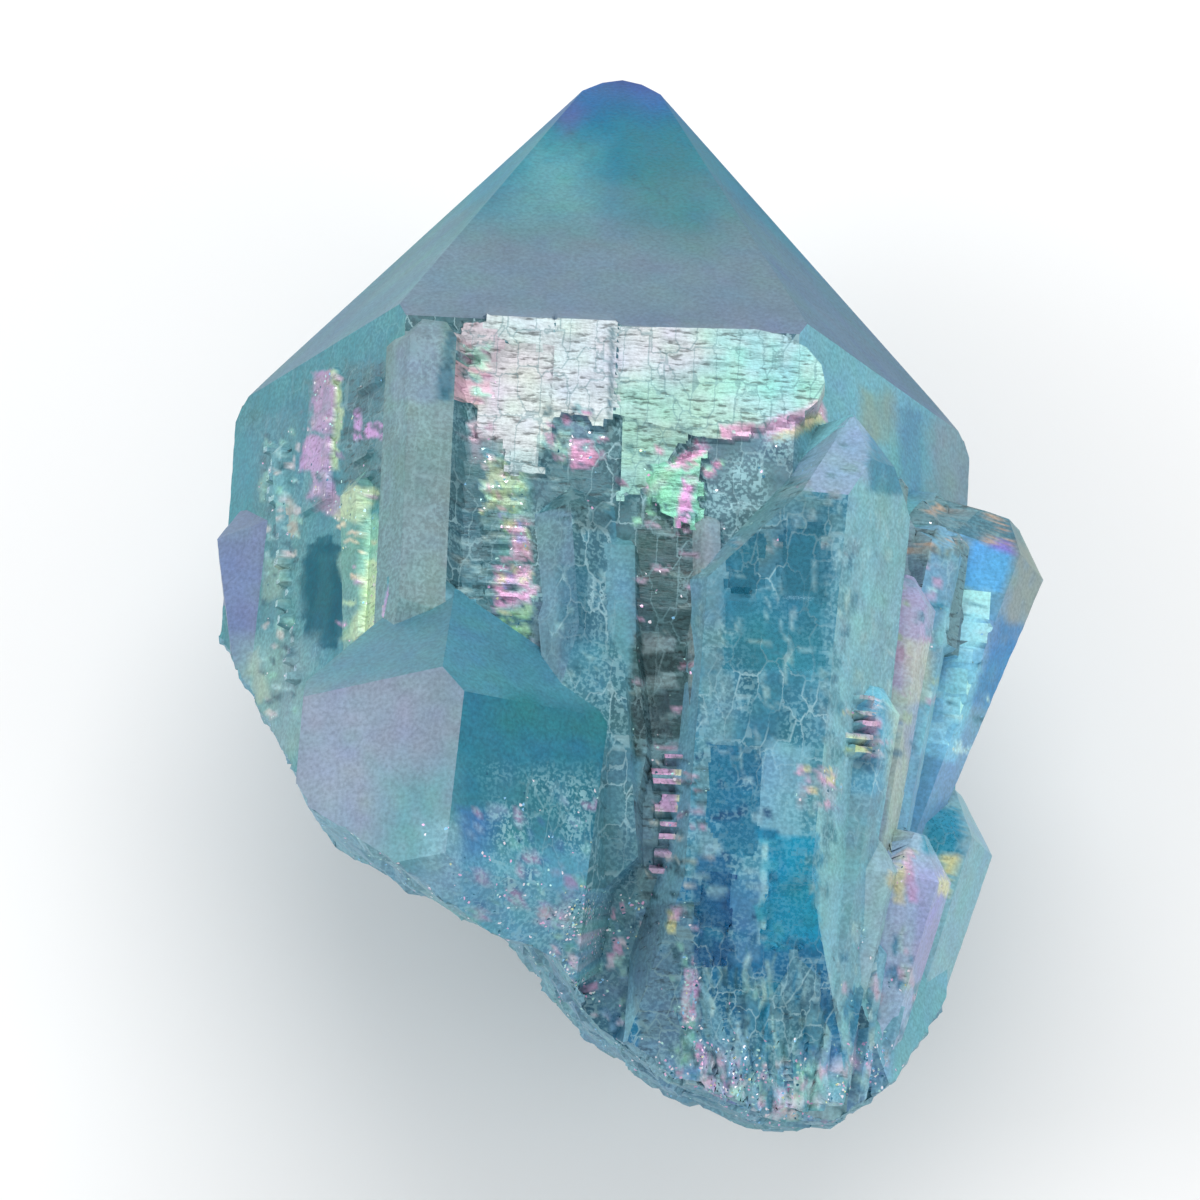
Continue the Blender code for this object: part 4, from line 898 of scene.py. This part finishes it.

# Chips: small steps and crystals, each in its own colour, partly the film's and partly painted light: pale chips
# are painted glints where they catch the light. Each row gives the solids that they lie on, the box that they
# fill in the picture's pixels, their count, their least and greatest width and height, their colours and their
# finish.
CHIPS_AND_GLINTS = (
    # among the beads at the left, the pale chips are painted highlights and the dark ones painted shadow between
    # the beads
    ("main left_bead left_outer left_inner", (264, 425, 298, 720), 90, (3, 8), (3, 8),
     ("A6D6D8", "D8D4D6", "2C6272", "8CC8BC", "3B7484"), "glint"),
    ("main left_ledge left_inner", (342, 372, 402, 500), 46, (6, 22), (2, 5),
     ("2C5A66", "345F6C", "6FA0AA"), "stepped"),
    ("main pink_plate", (304, 372, 346, 512), 24, (3, 10), (2, 6), ("4F7F8C", "8E86A8", "DCC6DC"), "glint"),
    ("main left_inner", (342, 486, 392, 645), 30, (4, 12), (2, 5),
     ("4F8F8A", "E6D8C0", "B8E4B4", "C4A6D0"), "glint"),
    ("front_plate main", (462, 342, 494, 442), 26, (4, 12), (3, 9),
     ("A886A0", "4F7F88", "9CD0BC", "D2B4C0"), "glint"),
    ("main front_ledge", (480, 448, 526, 515), 44, (4, 10), (3, 9),
     ("B4D4A4", "A4D8C0", "D8C0C8", "2F6070", "3F7A88"), "glint"),
    ("main front_ledge", (462, 500, 530, 655), 60, (6, 26), (2, 5),
     ("A8C8C4", "2F6674", "3C7684", "86B0B4"), "stepped"),
    ("main front_ledge centre", (500, 515, 532, 650), 34, (4, 10), (4, 10),
     ("D8A8CC", "A0D4AC", "C8CCA4", "2F6272", "9AA0D8"), "glint"),
    ("main front_plate", (543, 400, 612, 470), 46, (4, 10), (3, 9),
     ("7FB4BC", "C08CB4", "2F5F74", "35687C"), "stepped"),
    ("main centre", (548, 470, 640, 530), 30, (4, 14), (2, 6), ("2F5C66", "7FA4A8", "42727C"), "stepped"),
    ("main front_plate", (612, 440, 720, 530), 36, (4, 10), (3, 8),
     ("C88CB0", "3F6E74", "8CC8A8", "2F565E"), "glint"),
    ("main centre column", (636, 515, 702, 760), 60, (5, 22), (2, 5),
     ("2E4A52", "7C9698", "54707A", "B49CB4"), "stepped"),
    ("main column tall centre", (644, 760, 704, 935), 70, (4, 18), (2, 4),
     ("D4B4CC", "35555F", "4F7680", "2E4C58", "C8D4CC", "2B4650"), "glint"),
    ("tall root_rib main", (672, 940, 706, 1080), 36, (3, 7), (3, 9),
     ("D4A8CC", "8CCCC0", "2F6070", "3C7A90"), "glint"),
    ("tall root_rib capped_rib lower_flank", (690, 955, 862, 1105), 110, (2, 5), (10, 36),
     ("2A5F74", "8FC4CC", "1F7FA4", "A8D4D8", "35657A", "6FA4B4"), "stepped"),
    ("centre_dome", (556, 560, 612, 740), 30, (3, 8), (2, 6), ("8CC0C8", "2F7488"), "cracked"),
    ("tall", (700, 410, 850, 560), 70, (5, 16), (4, 12), ("7FA4AC", "4A7682", "8C9CA8", "5A8C98"), "stepped"),
    ("tall window", (700, 520, 832, 760), 34, (2, 4), (12, 34), ("7CAEBE", "3F8AA6", "8CBCC8"), "cracked"),
    ("tall window", (700, 520, 832, 760), 24, (8, 26), (2, 3), ("7CAEBE", "3F8AA6"), "cracked"),
    ("tall window", (698, 740, 770, 960), 40, (3, 22), (2, 12),
     ("1F6E96", "7FB0C4", "2A86AC", "18527E"), "cracked"),
    ("tall window", (764, 832, 822, 948), 34, (4, 20), (2, 14),
     ("0C9CCC", "3FBCDC", "0A86B4", "1CA6D0"), "glassy"),
    ("tall window", (836, 490, 854, 640), 24, (4, 14), (4, 18), ("5C9CB0", "7DB0BE", "3F8AA2"), "cracked"),
    ("tall window", (822, 640, 842, 760), 20, (4, 14), (4, 18), ("5C9CB0", "7DB0BE", "3F8AA2"), "cracked"),
    ("tall window", (808, 760, 830, 900), 22, (4, 14), (4, 18), ("5C9CB0", "7DB0BE", "3F8AA2"), "cracked"),
    ("tall", (838, 500, 905, 760), 60, (2, 5), (5, 26), ("6FA4B0", "A0CCD2", "8CBAC6"), "frosted"),
    ("tall flank_dome dome_rung", (846, 695, 892, 762), 26, (4, 18), (2, 4),
     ("D8B8D4", "2F7488", "C8DCB0", "E0DCE4"), "glint"),
    ("tall capped_rib", (798, 768, 842, 810), 16, (4, 12), (3, 8),
     ("E0B4D8", "A8C4D8", "DCE0B0", "7C9CB4"), "glint"),
    ("flank_rib right_upper_rib main", (884, 560, 955, 760), 36, (4, 12), (3, 14),
     ("86A8C0", "C0A8C8", "A8C4A8", "5F90A8"), "frosted"),
    ("right_upper rubble main", (905, 495, 1010, 560), 60, (3, 9), (3, 9),
     ("C8A890", "5F7C84", "8CA4A4"), "frosted"),
    ("right_upper ladder", (928, 592, 988, 760), 30, (4, 18), (2, 6), ("C8F4F8", "2F7C98", "6FBCD4"), "glint"),
    ("edge_on main root_rib", (548, 905, 650, 1040), 90, (3, 12), (3, 12),
     ("9CD8D4", "D8D4E4", "2A6C8C", "1F5C78", "D4B0D4", "6FA4C4"), "glint"),
    ("edge_on", (470, 800, 600, 930), 50, (5, 16), (4, 14), ("3F78A8", "86A8C8", "7CC0C4", "A898C0"), "speckled"),
    ("tall main root_rib", (690, 1060, 860, 1128), 110, (3, 9), (3, 10),
     ("E4C8E4", "A8E4DC", "2A6C88", "DCE4F0", "4FA0C0"), "glint"),
    ("tall flank lower root_rib capped", (840, 930, 915, 1080), 50, (3, 8), (5, 22),
     ("2F84A8", "A4CCD0", "7CB0BC", "C4B8D0"), "glint"),
)
CHIP_MARGIN = 30
CHIP_TURN = 8
CHIP_SOFT = 2.0
CHIP_STRENGTH = 0.85
# The marks' edges wander by noise: how many pixels, the noise's size, and its seeds across and down.
EDGE_WANDER = ((3.6, 0.8, (60, 62)), (2.4, 0.22, (61, 63)))
PATCHINESS = 0.35


def on_picture(place):
    """Where a place is in the picture, in its pixels across and down, by central projection."""
    away = place - CAMERA_AIM
    scale = LENS / SENSOR * PICTURE_SIDE / (CAMERA_AWAY - away @ camera_back)
    return PICTURE_SIDE / 2 + away @ camera_right * scale, PICTURE_SIDE / 2 - away @ camera_up * scale


def linear(code):
    """An sRGB hex colour as linear red, green and blue."""
    part = np.array([int(code[place:place + 2], 16) for place in (0, 2, 4)]) / 255
    return np.where(part <= 0.04045, part / 12.92, ((part + 0.055) / 1.055) ** 2.4)


def plane_number(owners, planes):
    """Which plane of its solid each face lies in."""
    number = np.full(owners.shape, -1)
    for solid, (name, shape) in enumerate(grown):
        on = owners == solid
        number[on] = np.argmin(np.linalg.norm(planes[on][:, None, :] - shape[None], axis=2), axis=1)
    return number


def face_paint(owners, faces):
    """The colour and finish of each face of the skin, from its solid and which plane of that solid it is."""
    colour = np.zeros(owners.shape + (3,))
    finish = np.zeros(owners.shape + (8,))
    colour[:], finish[:] = linear(BROKEN_COLOUR[0]), FINISHES[BROKEN_COLOUR[1]]
    for name, face, code, look in FACE_COLOURS:
        on = named(owners, name)
        if face is not None:
            on &= faces == face
        colour[on], finish[on] = linear(code), FINISHES[look]
    for number, parent in enumerate(pit_parent):
        on = owners == WINDOW + number
        colour[on], finish[on] = linear(WINDOW_COLOURS[parent]), FINISHES["glassy"]
    return colour, finish


def box_mask(across, down, box, turn, soft):
    """1 inside a turned box, 0 outside, with an edge that fades over the softness."""
    left, top, right, bottom = box
    a = math.radians(turn)
    x, y = across - (left + right) / 2, down - (top + bottom) / 2
    x, y = x * math.cos(a) + y * math.sin(a), y * math.cos(a) - x * math.sin(a)
    inside = np.minimum((right - left) / 2 - np.abs(x), (bottom - top) / 2 - np.abs(y))
    return np.clip(inside / soft + 0.5, 0, 1)


def paint_marks(place, normal, owners, colour, finish):
    """Lays the marks and the chips over the painted faces that look at the camera, with uneven edges."""
    across, down = on_picture(place)
    for far, size, (across_seed, down_seed) in EDGE_WANDER:
        across = across + far * noise(place, size, across_seed)
        down = down + far * noise(place, size, down_seed)
    patchy = 1.0 - PATCHINESS * np.clip(noise(place, 0.3, 64), 0, 1)
    seen = np.clip(normal @ camera_back * 4, 0, 1) * patchy

    def around(names, box, reach):
        """The samples on the named solids near a box."""
        near = np.abs(across - (box[0] + box[2]) / 2) < (box[2] - box[0]) / 2 + reach
        near &= np.abs(down - (box[1] + box[3]) / 2) < (box[3] - box[1]) / 2 + reach
        chosen = named(owners, *names.split()) | (owners >= WINDOW if "window" in names else False)
        return np.flatnonzero(near & chosen)

    def lay(near, box, turn, soft, code, look, strength):
        """Mixes one colour and finish into the samples inside a turned box."""
        mask = (box_mask(across[near], down[near], box, turn, soft) * seen[near] * strength)[:, None]
        colour[near] = colour[near] * (1 - mask) + linear(code) * mask
        finish[near] = finish[near] * (1 - mask) + np.array(FINISHES[look]) * mask

    for names, box, *rest in MARKS:
        lay(around(names, box, max(box[2] - box[0], box[3] - box[1]) / 2), box, *rest)
    scatter = np.random.default_rng(11)
    for names, field, count, widths, heights, codes, look in CHIPS_AND_GLINTS:
        near = around(names, field, CHIP_MARGIN)
        for number in range(count):
            middle = scatter.uniform(field[:2], field[2:])
            half = np.array((scatter.uniform(*widths), scatter.uniform(*heights))) / 2
            close = near[(np.abs(across[near] - middle[0]) < 2 * half.max()) &
                         (np.abs(down[near] - middle[1]) < 2 * half.max())]
            box = (*(middle - half), *(middle + half))
            turn = scatter.uniform(-CHIP_TURN, CHIP_TURN)
            lay(close, box, turn, CHIP_SOFT, codes[number % len(codes)], look, CHIP_STRENGTH)


# The mesh: squares between the vertices of the skin, and a fan of triangles at each end.
rows, columns = skin.shape[:2]
cell = np.arange(rows * columns).reshape(rows, columns)
before = np.roll(cell, 1, axis=1)
quads = np.stack([before[:-1], before[1:], cell[1:], cell[:-1]], axis=2).reshape(-1, 4)
tip_cap = np.column_stack([np.full(columns, rows * columns), before[0], cell[0]])
root_cap = np.column_stack([np.full(columns, rows * columns + 1), cell[-1], before[-1]])
points = np.vstack([skin.reshape(-1, 3), poles])
loops = np.concatenate([quads.ravel(), tip_cap.ravel(), root_cap.ravel()])
face_starts = np.concatenate([np.arange(len(quads)) * 4, len(quads) * 4 + np.arange(2 * columns) * 3])
sides = np.diff(np.append(face_starts, len(loops)))

face_owner = np.concatenate([owner[1:-1].ravel(), owner[0], owner[-1]])
face_plane = np.concatenate([plane[1:-1].reshape(-1, 4), plane[0], plane[-1]])
face_number = plane_number(face_owner, face_plane)
colour, finish = face_paint(face_owner, face_number)
colour, finish = np.repeat(colour, sides, axis=0), np.repeat(finish, sides, axis=0)
loop_owner, loop_plane = np.repeat(face_owner, sides), np.repeat(face_plane, sides, axis=0)
loop_number = np.repeat(face_number, sides)
loop_place = points[loops]

on_tip = named(loop_owner, "main") & (loop_plane[:, 1] > 0.3)
band_y, band_code = np.array([y for y, code in TIP_BANDS]), [linear(code) for y, code in TIP_BANDS]
along_tip = loop_place[:, 1] + sum(far * noise(loop_place, size, seed) for far, size, seed in BAND_WANDER)
bands = np.stack([np.interp(-along_tip, -band_y, [code[way] for code in band_code]) for way in range(3)], axis=1)
all_of_it = (loop_number == TIP_FRONT_FACE) | (loop_number > LAST_TIP_FACE)
share = np.where(on_tip, np.where(all_of_it, 1.0, BAND_SIDE_SHARE), 0.0)[:, None]
colour = colour * (1 - share) + bands * share
finish[:, 2:3] += share * np.interp(along_tip, TIP_METAL_Y, TIP_METAL)[:, None]
paint_marks(loop_place, loop_plane[:, :3], loop_owner, colour, finish)

# The film and the growth are uneven: broad veils, fibres along the crystal, and cracks and flecks in patches.
# A veil has its strength, the noise's size and its seed. A patchy finish has its column, its least, its strength,
# and again the noise's size and seed.
VEILS = ((0.07, 2.2, 80), (0.04, 0.8, 81))
FIBRE_DARK, FIBRE_SIZE = 0.28, (0.22, 1.6, 0.22)
TINT, FLECK_TINT = 0.06, 0.45
PATCHY = ((4, 0.75, 1.2, 1.3, 83), (5, 0.55, 1.6, 0.5, 84), (6, 0.70, 1.2, 0.9, 85))
SHARP_EDGE = math.radians(32)

veil = 1.0 + sum(strength * noise(loop_place, size, seed) for strength, size, seed in VEILS)
fibre = 1.0 - FIBRE_DARK * finish[:, 7] * np.clip(noise(loop_place, FIBRE_SIZE, 82), 0, 1)
colour *= (veil * fibre)[:, None]
shift = np.stack([noise(loop_place, 1.7, 86 + way) + noise(loop_place, 0.5, 90 + way) for way in range(3)], axis=1)
blotch = np.stack([noise(loop_place, 0.34, 94 + way) for way in range(3)], axis=1)
colour *= 1.0 + TINT * shift + FLECK_TINT * finish[:, 5:6] * blotch
for column, least, strength, size, seed in PATCHY:
    finish[:, column] *= np.clip(least + strength * noise(loop_place, size, seed), 0, 1)

mesh = bpy.data.meshes.new("aura_quartz_point")
mesh.vertices.add(len(points))
mesh.vertices.foreach_set("co", (points * MM).astype(np.float32).ravel())
mesh.loops.add(len(loops))
mesh.loops.foreach_set("vertex_index", loops.astype(np.int32))
mesh.polygons.add(len(face_starts))
mesh.polygons.foreach_set("loop_start", face_starts.astype(np.int32))
mesh.polygons.foreach_set("use_smooth", np.ones(len(face_starts), bool))
mesh.update(calc_edges=True)
mesh.validate()
mesh.set_sharp_from_angle(angle=SHARP_EDGE)
opaque = np.ones((len(colour), 1))
for label, values in (("film_colour", np.hstack([colour, opaque])), ("finish", finish[:, :4]),
                      ("detail", finish[:, 4:])):
    layer = mesh.color_attributes.new(label, "FLOAT_COLOR", "CORNER")
    layer.data.foreach_set("color", values.astype(np.float32).ravel())


def add(tree, kind, inputs=None, stops=(), **settings):
    """Adds a shader node of a kind: settings are its own properties, and each input gets a value or a link from a
    socket. A colour ramp also gets its stops, pairs of a place and a grey or a hex colour."""
    made = tree.nodes.new("ShaderNode" + kind)
    for label, value in settings.items():
        setattr(made, label, value)
    for label, value in (inputs or {}).items():
        if isinstance(value, bpy.types.NodeSocket):
            tree.links.new(value, made.inputs[label])
        else:
            made.inputs[label].default_value = value
    if stops:
        points = made.color_ramp.elements
        while len(points) < len(stops):
            points.new(0.5)
        for point, (place, shade) in zip(points, stops):
            point.position = place
            point.color = (*linear(shade), 1.0) if isinstance(shade, str) else (shade, shade, shade, 1.0)
    return made


def coated_quartz():
    """Quartz under a vapour-deposited metal film: see-through and blue inside, with a film that is silvery where
    it is thick and pink, green or gold where it thins out, over frosted or glassy growth faces. Its colour, finish
    and detail are the mesh's own; its pink, green and gold are partly painted glint, and the pale flecks laid over
    it are painted sparkle. Scales are per millimetre."""
    material = bpy.data.materials.new("coated_quartz")
    material.use_nodes = True
    tree = material.node_tree
    shader = tree.nodes["Principled BSDF"]
    metre_place = add(tree, "TexCoord").outputs["Object"]
    place = add(tree, "VectorMath", {0: metre_place, "Scale": 1 / MM}, operation="SCALE").outputs[0]

    # what is painted on the mesh
    film = add(tree, "Attribute", attribute_name="film_colour").outputs["Color"]
    finish = add(tree, "Attribute", attribute_name="finish")
    parts = add(tree, "SeparateColor", {"Color": finish.outputs["Color"]})
    frost, clear, metal = parts.outputs[0], parts.outputs[1], parts.outputs[2]
    grain_share = finish.outputs["Alpha"]
    detail = add(tree, "Attribute", attribute_name="detail").outputs["Color"]
    parts = add(tree, "SeparateColor", {"Color": detail})
    crack_share, fleck_share, speckle_share = parts.outputs[0], parts.outputs[1], parts.outputs[2]

    # a fine unevenness of a ninth of a millimetre, and a grain of lines an eighth apart across the crystal
    noises = []
    for stretch, rise in (((9.0, 9.0, 9.0), 2.0), ((2.2, 8.0, 2.2), 3.0)):
        at = add(tree, "VectorMath", {0: place, 1: stretch}, operation="MULTIPLY").outputs[0]
        noises.append(add(tree, "TexNoise", {"Vector": at, "Scale": 1.0, "Detail": rise}).outputs["Fac"])
    mottle, grain = noises

    # growth blocks with straight sides and ragged edges, about 0.7 by 1.25 mm, each of its own shade, and the
    # cracks between them, where the nearest and second nearest cell are equally far by the larger distance
    at = add(tree, "VectorMath", {0: place, 1: (1.4, 0.8, 1.4)}, operation="MULTIPLY").outputs[0]
    bend = add(tree, "Math", {0: mottle, 1: 0.14}, operation="MULTIPLY").outputs[0]
    at = add(tree, "VectorMath", {0: at, 1: bend}, operation="ADD").outputs[0]
    first, second = (add(tree, "TexVoronoi", {"Vector": at, "Scale": 1.0, "Randomness": 0.9}, feature=feature,
                         distance="CHEBYCHEV").outputs for feature in ("F1", "F2"))
    gap = add(tree, "Math", {0: second["Distance"], 1: first["Distance"]}, operation="SUBTRACT").outputs[0]
    cracks = add(tree, "ValToRGB", {"Fac": gap}, ((0.0, 1.0), (0.025, 0.8), (0.05, 0.0))).outputs[0]
    block_shade = add(tree, "SeparateColor", {"Color": first["Color"]}).outputs[2]

    # pale etched spots about 0.3 mm apart, and between them the pale part of the unevenness
    bend = add(tree, "Math", {0: mottle, 1: 0.12}, operation="MULTIPLY").outputs[0]
    at = add(tree, "VectorMath", {0: place, 1: bend}, operation="ADD").outputs[0]
    etched = add(tree, "TexVoronoi", {"Vector": at, "Scale": 3.6, "Randomness": 0.9},
                 distance="CHEBYCHEV").outputs["Distance"]
    etched = add(tree, "ValToRGB", {"Fac": etched}, ((0.58, 0.0), (0.63, 0.8))).outputs[0]
    speckles = add(tree, "ValToRGB", {"Fac": mottle}, ((0.50, 0.0), (0.58, 0.6))).outputs[0]
    speckles = add(tree, "Math", {0: speckles, 1: etched}, operation="MAXIMUM").outputs[0]
    speckles = add(tree, "Math", {0: speckles, 1: speckle_share}, operation="MULTIPLY").outputs[0]

    # flecks of a fifteenth of a millimetre that catch the light, more of them where the fleck share is larger;
    # their pale colours are painted sparkle, and the pink, green and dark ones are the film's own
    flake = add(tree, "TexVoronoi", {"Vector": place, "Scale": 15.0}).outputs["Color"]
    flake = add(tree, "SeparateColor", {"Color": flake}).outputs
    flecks = add(tree, "Math", {0: fleck_share, 1: 0.34, 2: flake[0]}, operation="MULTIPLY_ADD").outputs[0]
    flecks = add(tree, "Math", {0: flecks, 1: 1.0}, operation="GREATER_THAN").outputs[0]
    fleck_colours_and_sparkle = add(tree, "ValToRGB", {"Fac": flake[1]}, (
        (0.0, "E2B8DC"), (0.22, "EDE8F2"), (0.48, "B4E4E0"), (0.66, "8CC8F0"), (0.80, "D8DEB0"), (0.86, "2A6880")))
    fleck_colours_and_sparkle.color_ramp.interpolation = "CONSTANT"

    # the colour: the film, shaded by each pattern in turn, then speckles, cracks and flecks laid over it, the pale
    # flecks as painted sparkle. Input 0 of a mix is its share, and inputs 6 and 7 are the colours under and over.
    base = film
    for share, pattern, stops in (
            (1.0, mottle, ((0.3, 0.74), (0.7, 1.06))), (grain_share, grain, ((0.34, 0.40), (0.43, 1.0))),
            (crack_share, block_shade, ((0.0, 0.70), (1.0, 1.04))),
            (fleck_share, flake[2], ((0.0, 0.62), (1.0, 1.25)))):
        shade = add(tree, "ValToRGB", {"Fac": pattern}, stops).outputs[0]
        base = add(tree, "Mix", {0: share, 6: base, 7: shade}, data_type="RGBA", blend_type="MULTIPLY").outputs[2]
    crack_shares = []
    for share in (grain_share, crack_share):
        share = add(tree, "Math", {0: cracks, 1: share}, operation="MULTIPLY").outputs[0]
        crack_shares.append(add(tree, "Math", {0: share, 1: 0.5}, operation="MULTIPLY").outputs[0])
    for share, over in ((speckles, "A0D0D8"), (crack_shares[0], "4F7880"), (crack_shares[1], "B4DCE4")):
        over = (*linear(over), 1.0)
        base = add(tree, "Mix", {0: share, 6: base, 7: over}, data_type="RGBA").outputs[2]
    base = add(tree, "Mix", {0: flecks, 6: base, 7: fleck_colours_and_sparkle.outputs[0]}, data_type="RGBA").outputs[2]
    tree.links.new(base, shader.inputs["Base Color"])

    # the finish: flecks are smoother and more metallic than what they lie on, and frost varies with the unevenness
    metal = add(tree, "Math", {0: flecks, 1: 0.35, 2: metal}, operation="MULTIPLY_ADD", use_clamp=True)
    tree.links.new(metal.outputs[0], shader.inputs["Metallic"])
    tree.links.new(clear, shader.inputs["Transmission Weight"])
    rough = add(tree, "Math", {0: mottle, 1: 0.24, 2: -0.12}, operation="MULTIPLY_ADD").outputs[0]
    rough = add(tree, "Math", {0: rough, 1: frost}, operation="ADD").outputs[0]
    rough = add(tree, "Math", {0: flecks, 1: -0.12, 2: rough}, operation="MULTIPLY_ADD", use_clamp=True)
    tree.links.new(rough.outputs[0], shader.inputs["Roughness"])
    # quartz, with weaker reflections than it has bare, so that the windows stay as deep as they are
    shader.inputs["IOR"].default_value = 1.54
    shader.inputs["Specular IOR Level"].default_value = 0.3

    # the finest relief, under the mesh's own: grain lines and unevenness of up to 0.04 mm
    height = add(tree, "Math", {0: grain, 1: grain_share}, operation="MULTIPLY").outputs[0]
    height = add(tree, "Math", {0: height, 1: 1.5}, operation="MULTIPLY").outputs[0]
    height = add(tree, "Math", {0: mottle, 1: 0.4, 2: height}, operation="MULTIPLY_ADD").outputs[0]
    bump = add(tree, "Bump", {"Height": height, "Strength": 0.6, "Distance": 0.04 * MM})
    tree.links.new(bump.outputs[0], shader.inputs["Normal"])

    # the blue inside, which deepens with the way that light goes through the crystal
    deep = {"Color": (*linear("95DDEF"), 1.0), "Density": 55.0}
    absorb = add(tree, "VolumeAbsorption", deep)
    tree.links.new(absorb.outputs[0], tree.nodes["Material Output"].inputs["Volume"])
    return material


mesh.materials.append(coated_quartz())
point = bpy.data.objects.new("aura_quartz_point", mesh)
bpy.context.scene.collection.objects.link(point)
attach(point, "root")
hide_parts("quartz_point")

# The studio: a pale paper floor under the crystal, soft light all round, and a large softbox beyond the tip that
# the front face mirrors to the camera. A softbox has its place and size in millimetres and its power in watts.
SOFTBOXES = (
    ("softbox_front", (10, 200, 300), (300, 180), 0.66),
    ("softbox_left", (-300, -20, 220), (220, 260), 0.42),
    ("softbox_right", (300, -120, 180), (180, 220), 0.28),
)
SOFTBOX_AIM = (0, 0, 10)
ROOM_LIGHT = 0.62
FLOOR_REACH = 0.8

for name, place, size, power in SOFTBOXES:
    lamp = bpy.data.lights.new(name, "AREA")
    lamp.shape = "RECTANGLE"
    lamp.size, lamp.size_y = size[0] * MM, size[1] * MM
    lamp.energy = power
    aimed(name, lamp, place, SOFTBOX_AIM)

world = bpy.data.worlds.new("studio")
bpy.context.scene.world = world
world.use_nodes = True
room = world.node_tree.nodes["Background"]
room.inputs["Color"].default_value = (*linear("FFFFFF"), 1.0)
room.inputs["Strength"].default_value = ROOM_LIGHT
bpy.context.scene.view_settings.view_transform = "Standard"

# Matt uncoated paper, almost white: it has no shine, and shows only the soft shadow.
floor_paper = bpy.data.materials.new("floor_paper")
floor_paper.use_nodes = True
floor_shader = floor_paper.node_tree.nodes["Principled BSDF"]
floor_shader.inputs["Base Color"].default_value = (*linear("F1F1F1"), 1.0)
floor_shader.inputs["Roughness"].default_value = 0.9
sheet = bpy.data.meshes.new("floor")
floor_corners = [(x * FLOOR_REACH, y * FLOOR_REACH, 0) for x, y in ((-1, -1), (1, -1), (1, 1), (-1, 1))]
sheet.from_pydata(floor_corners, [], [(0, 1, 2, 3)])
sheet.materials.append(floor_paper)
floor = bpy.data.objects.new("floor", sheet)
bpy.context.scene.collection.objects.link(floor)
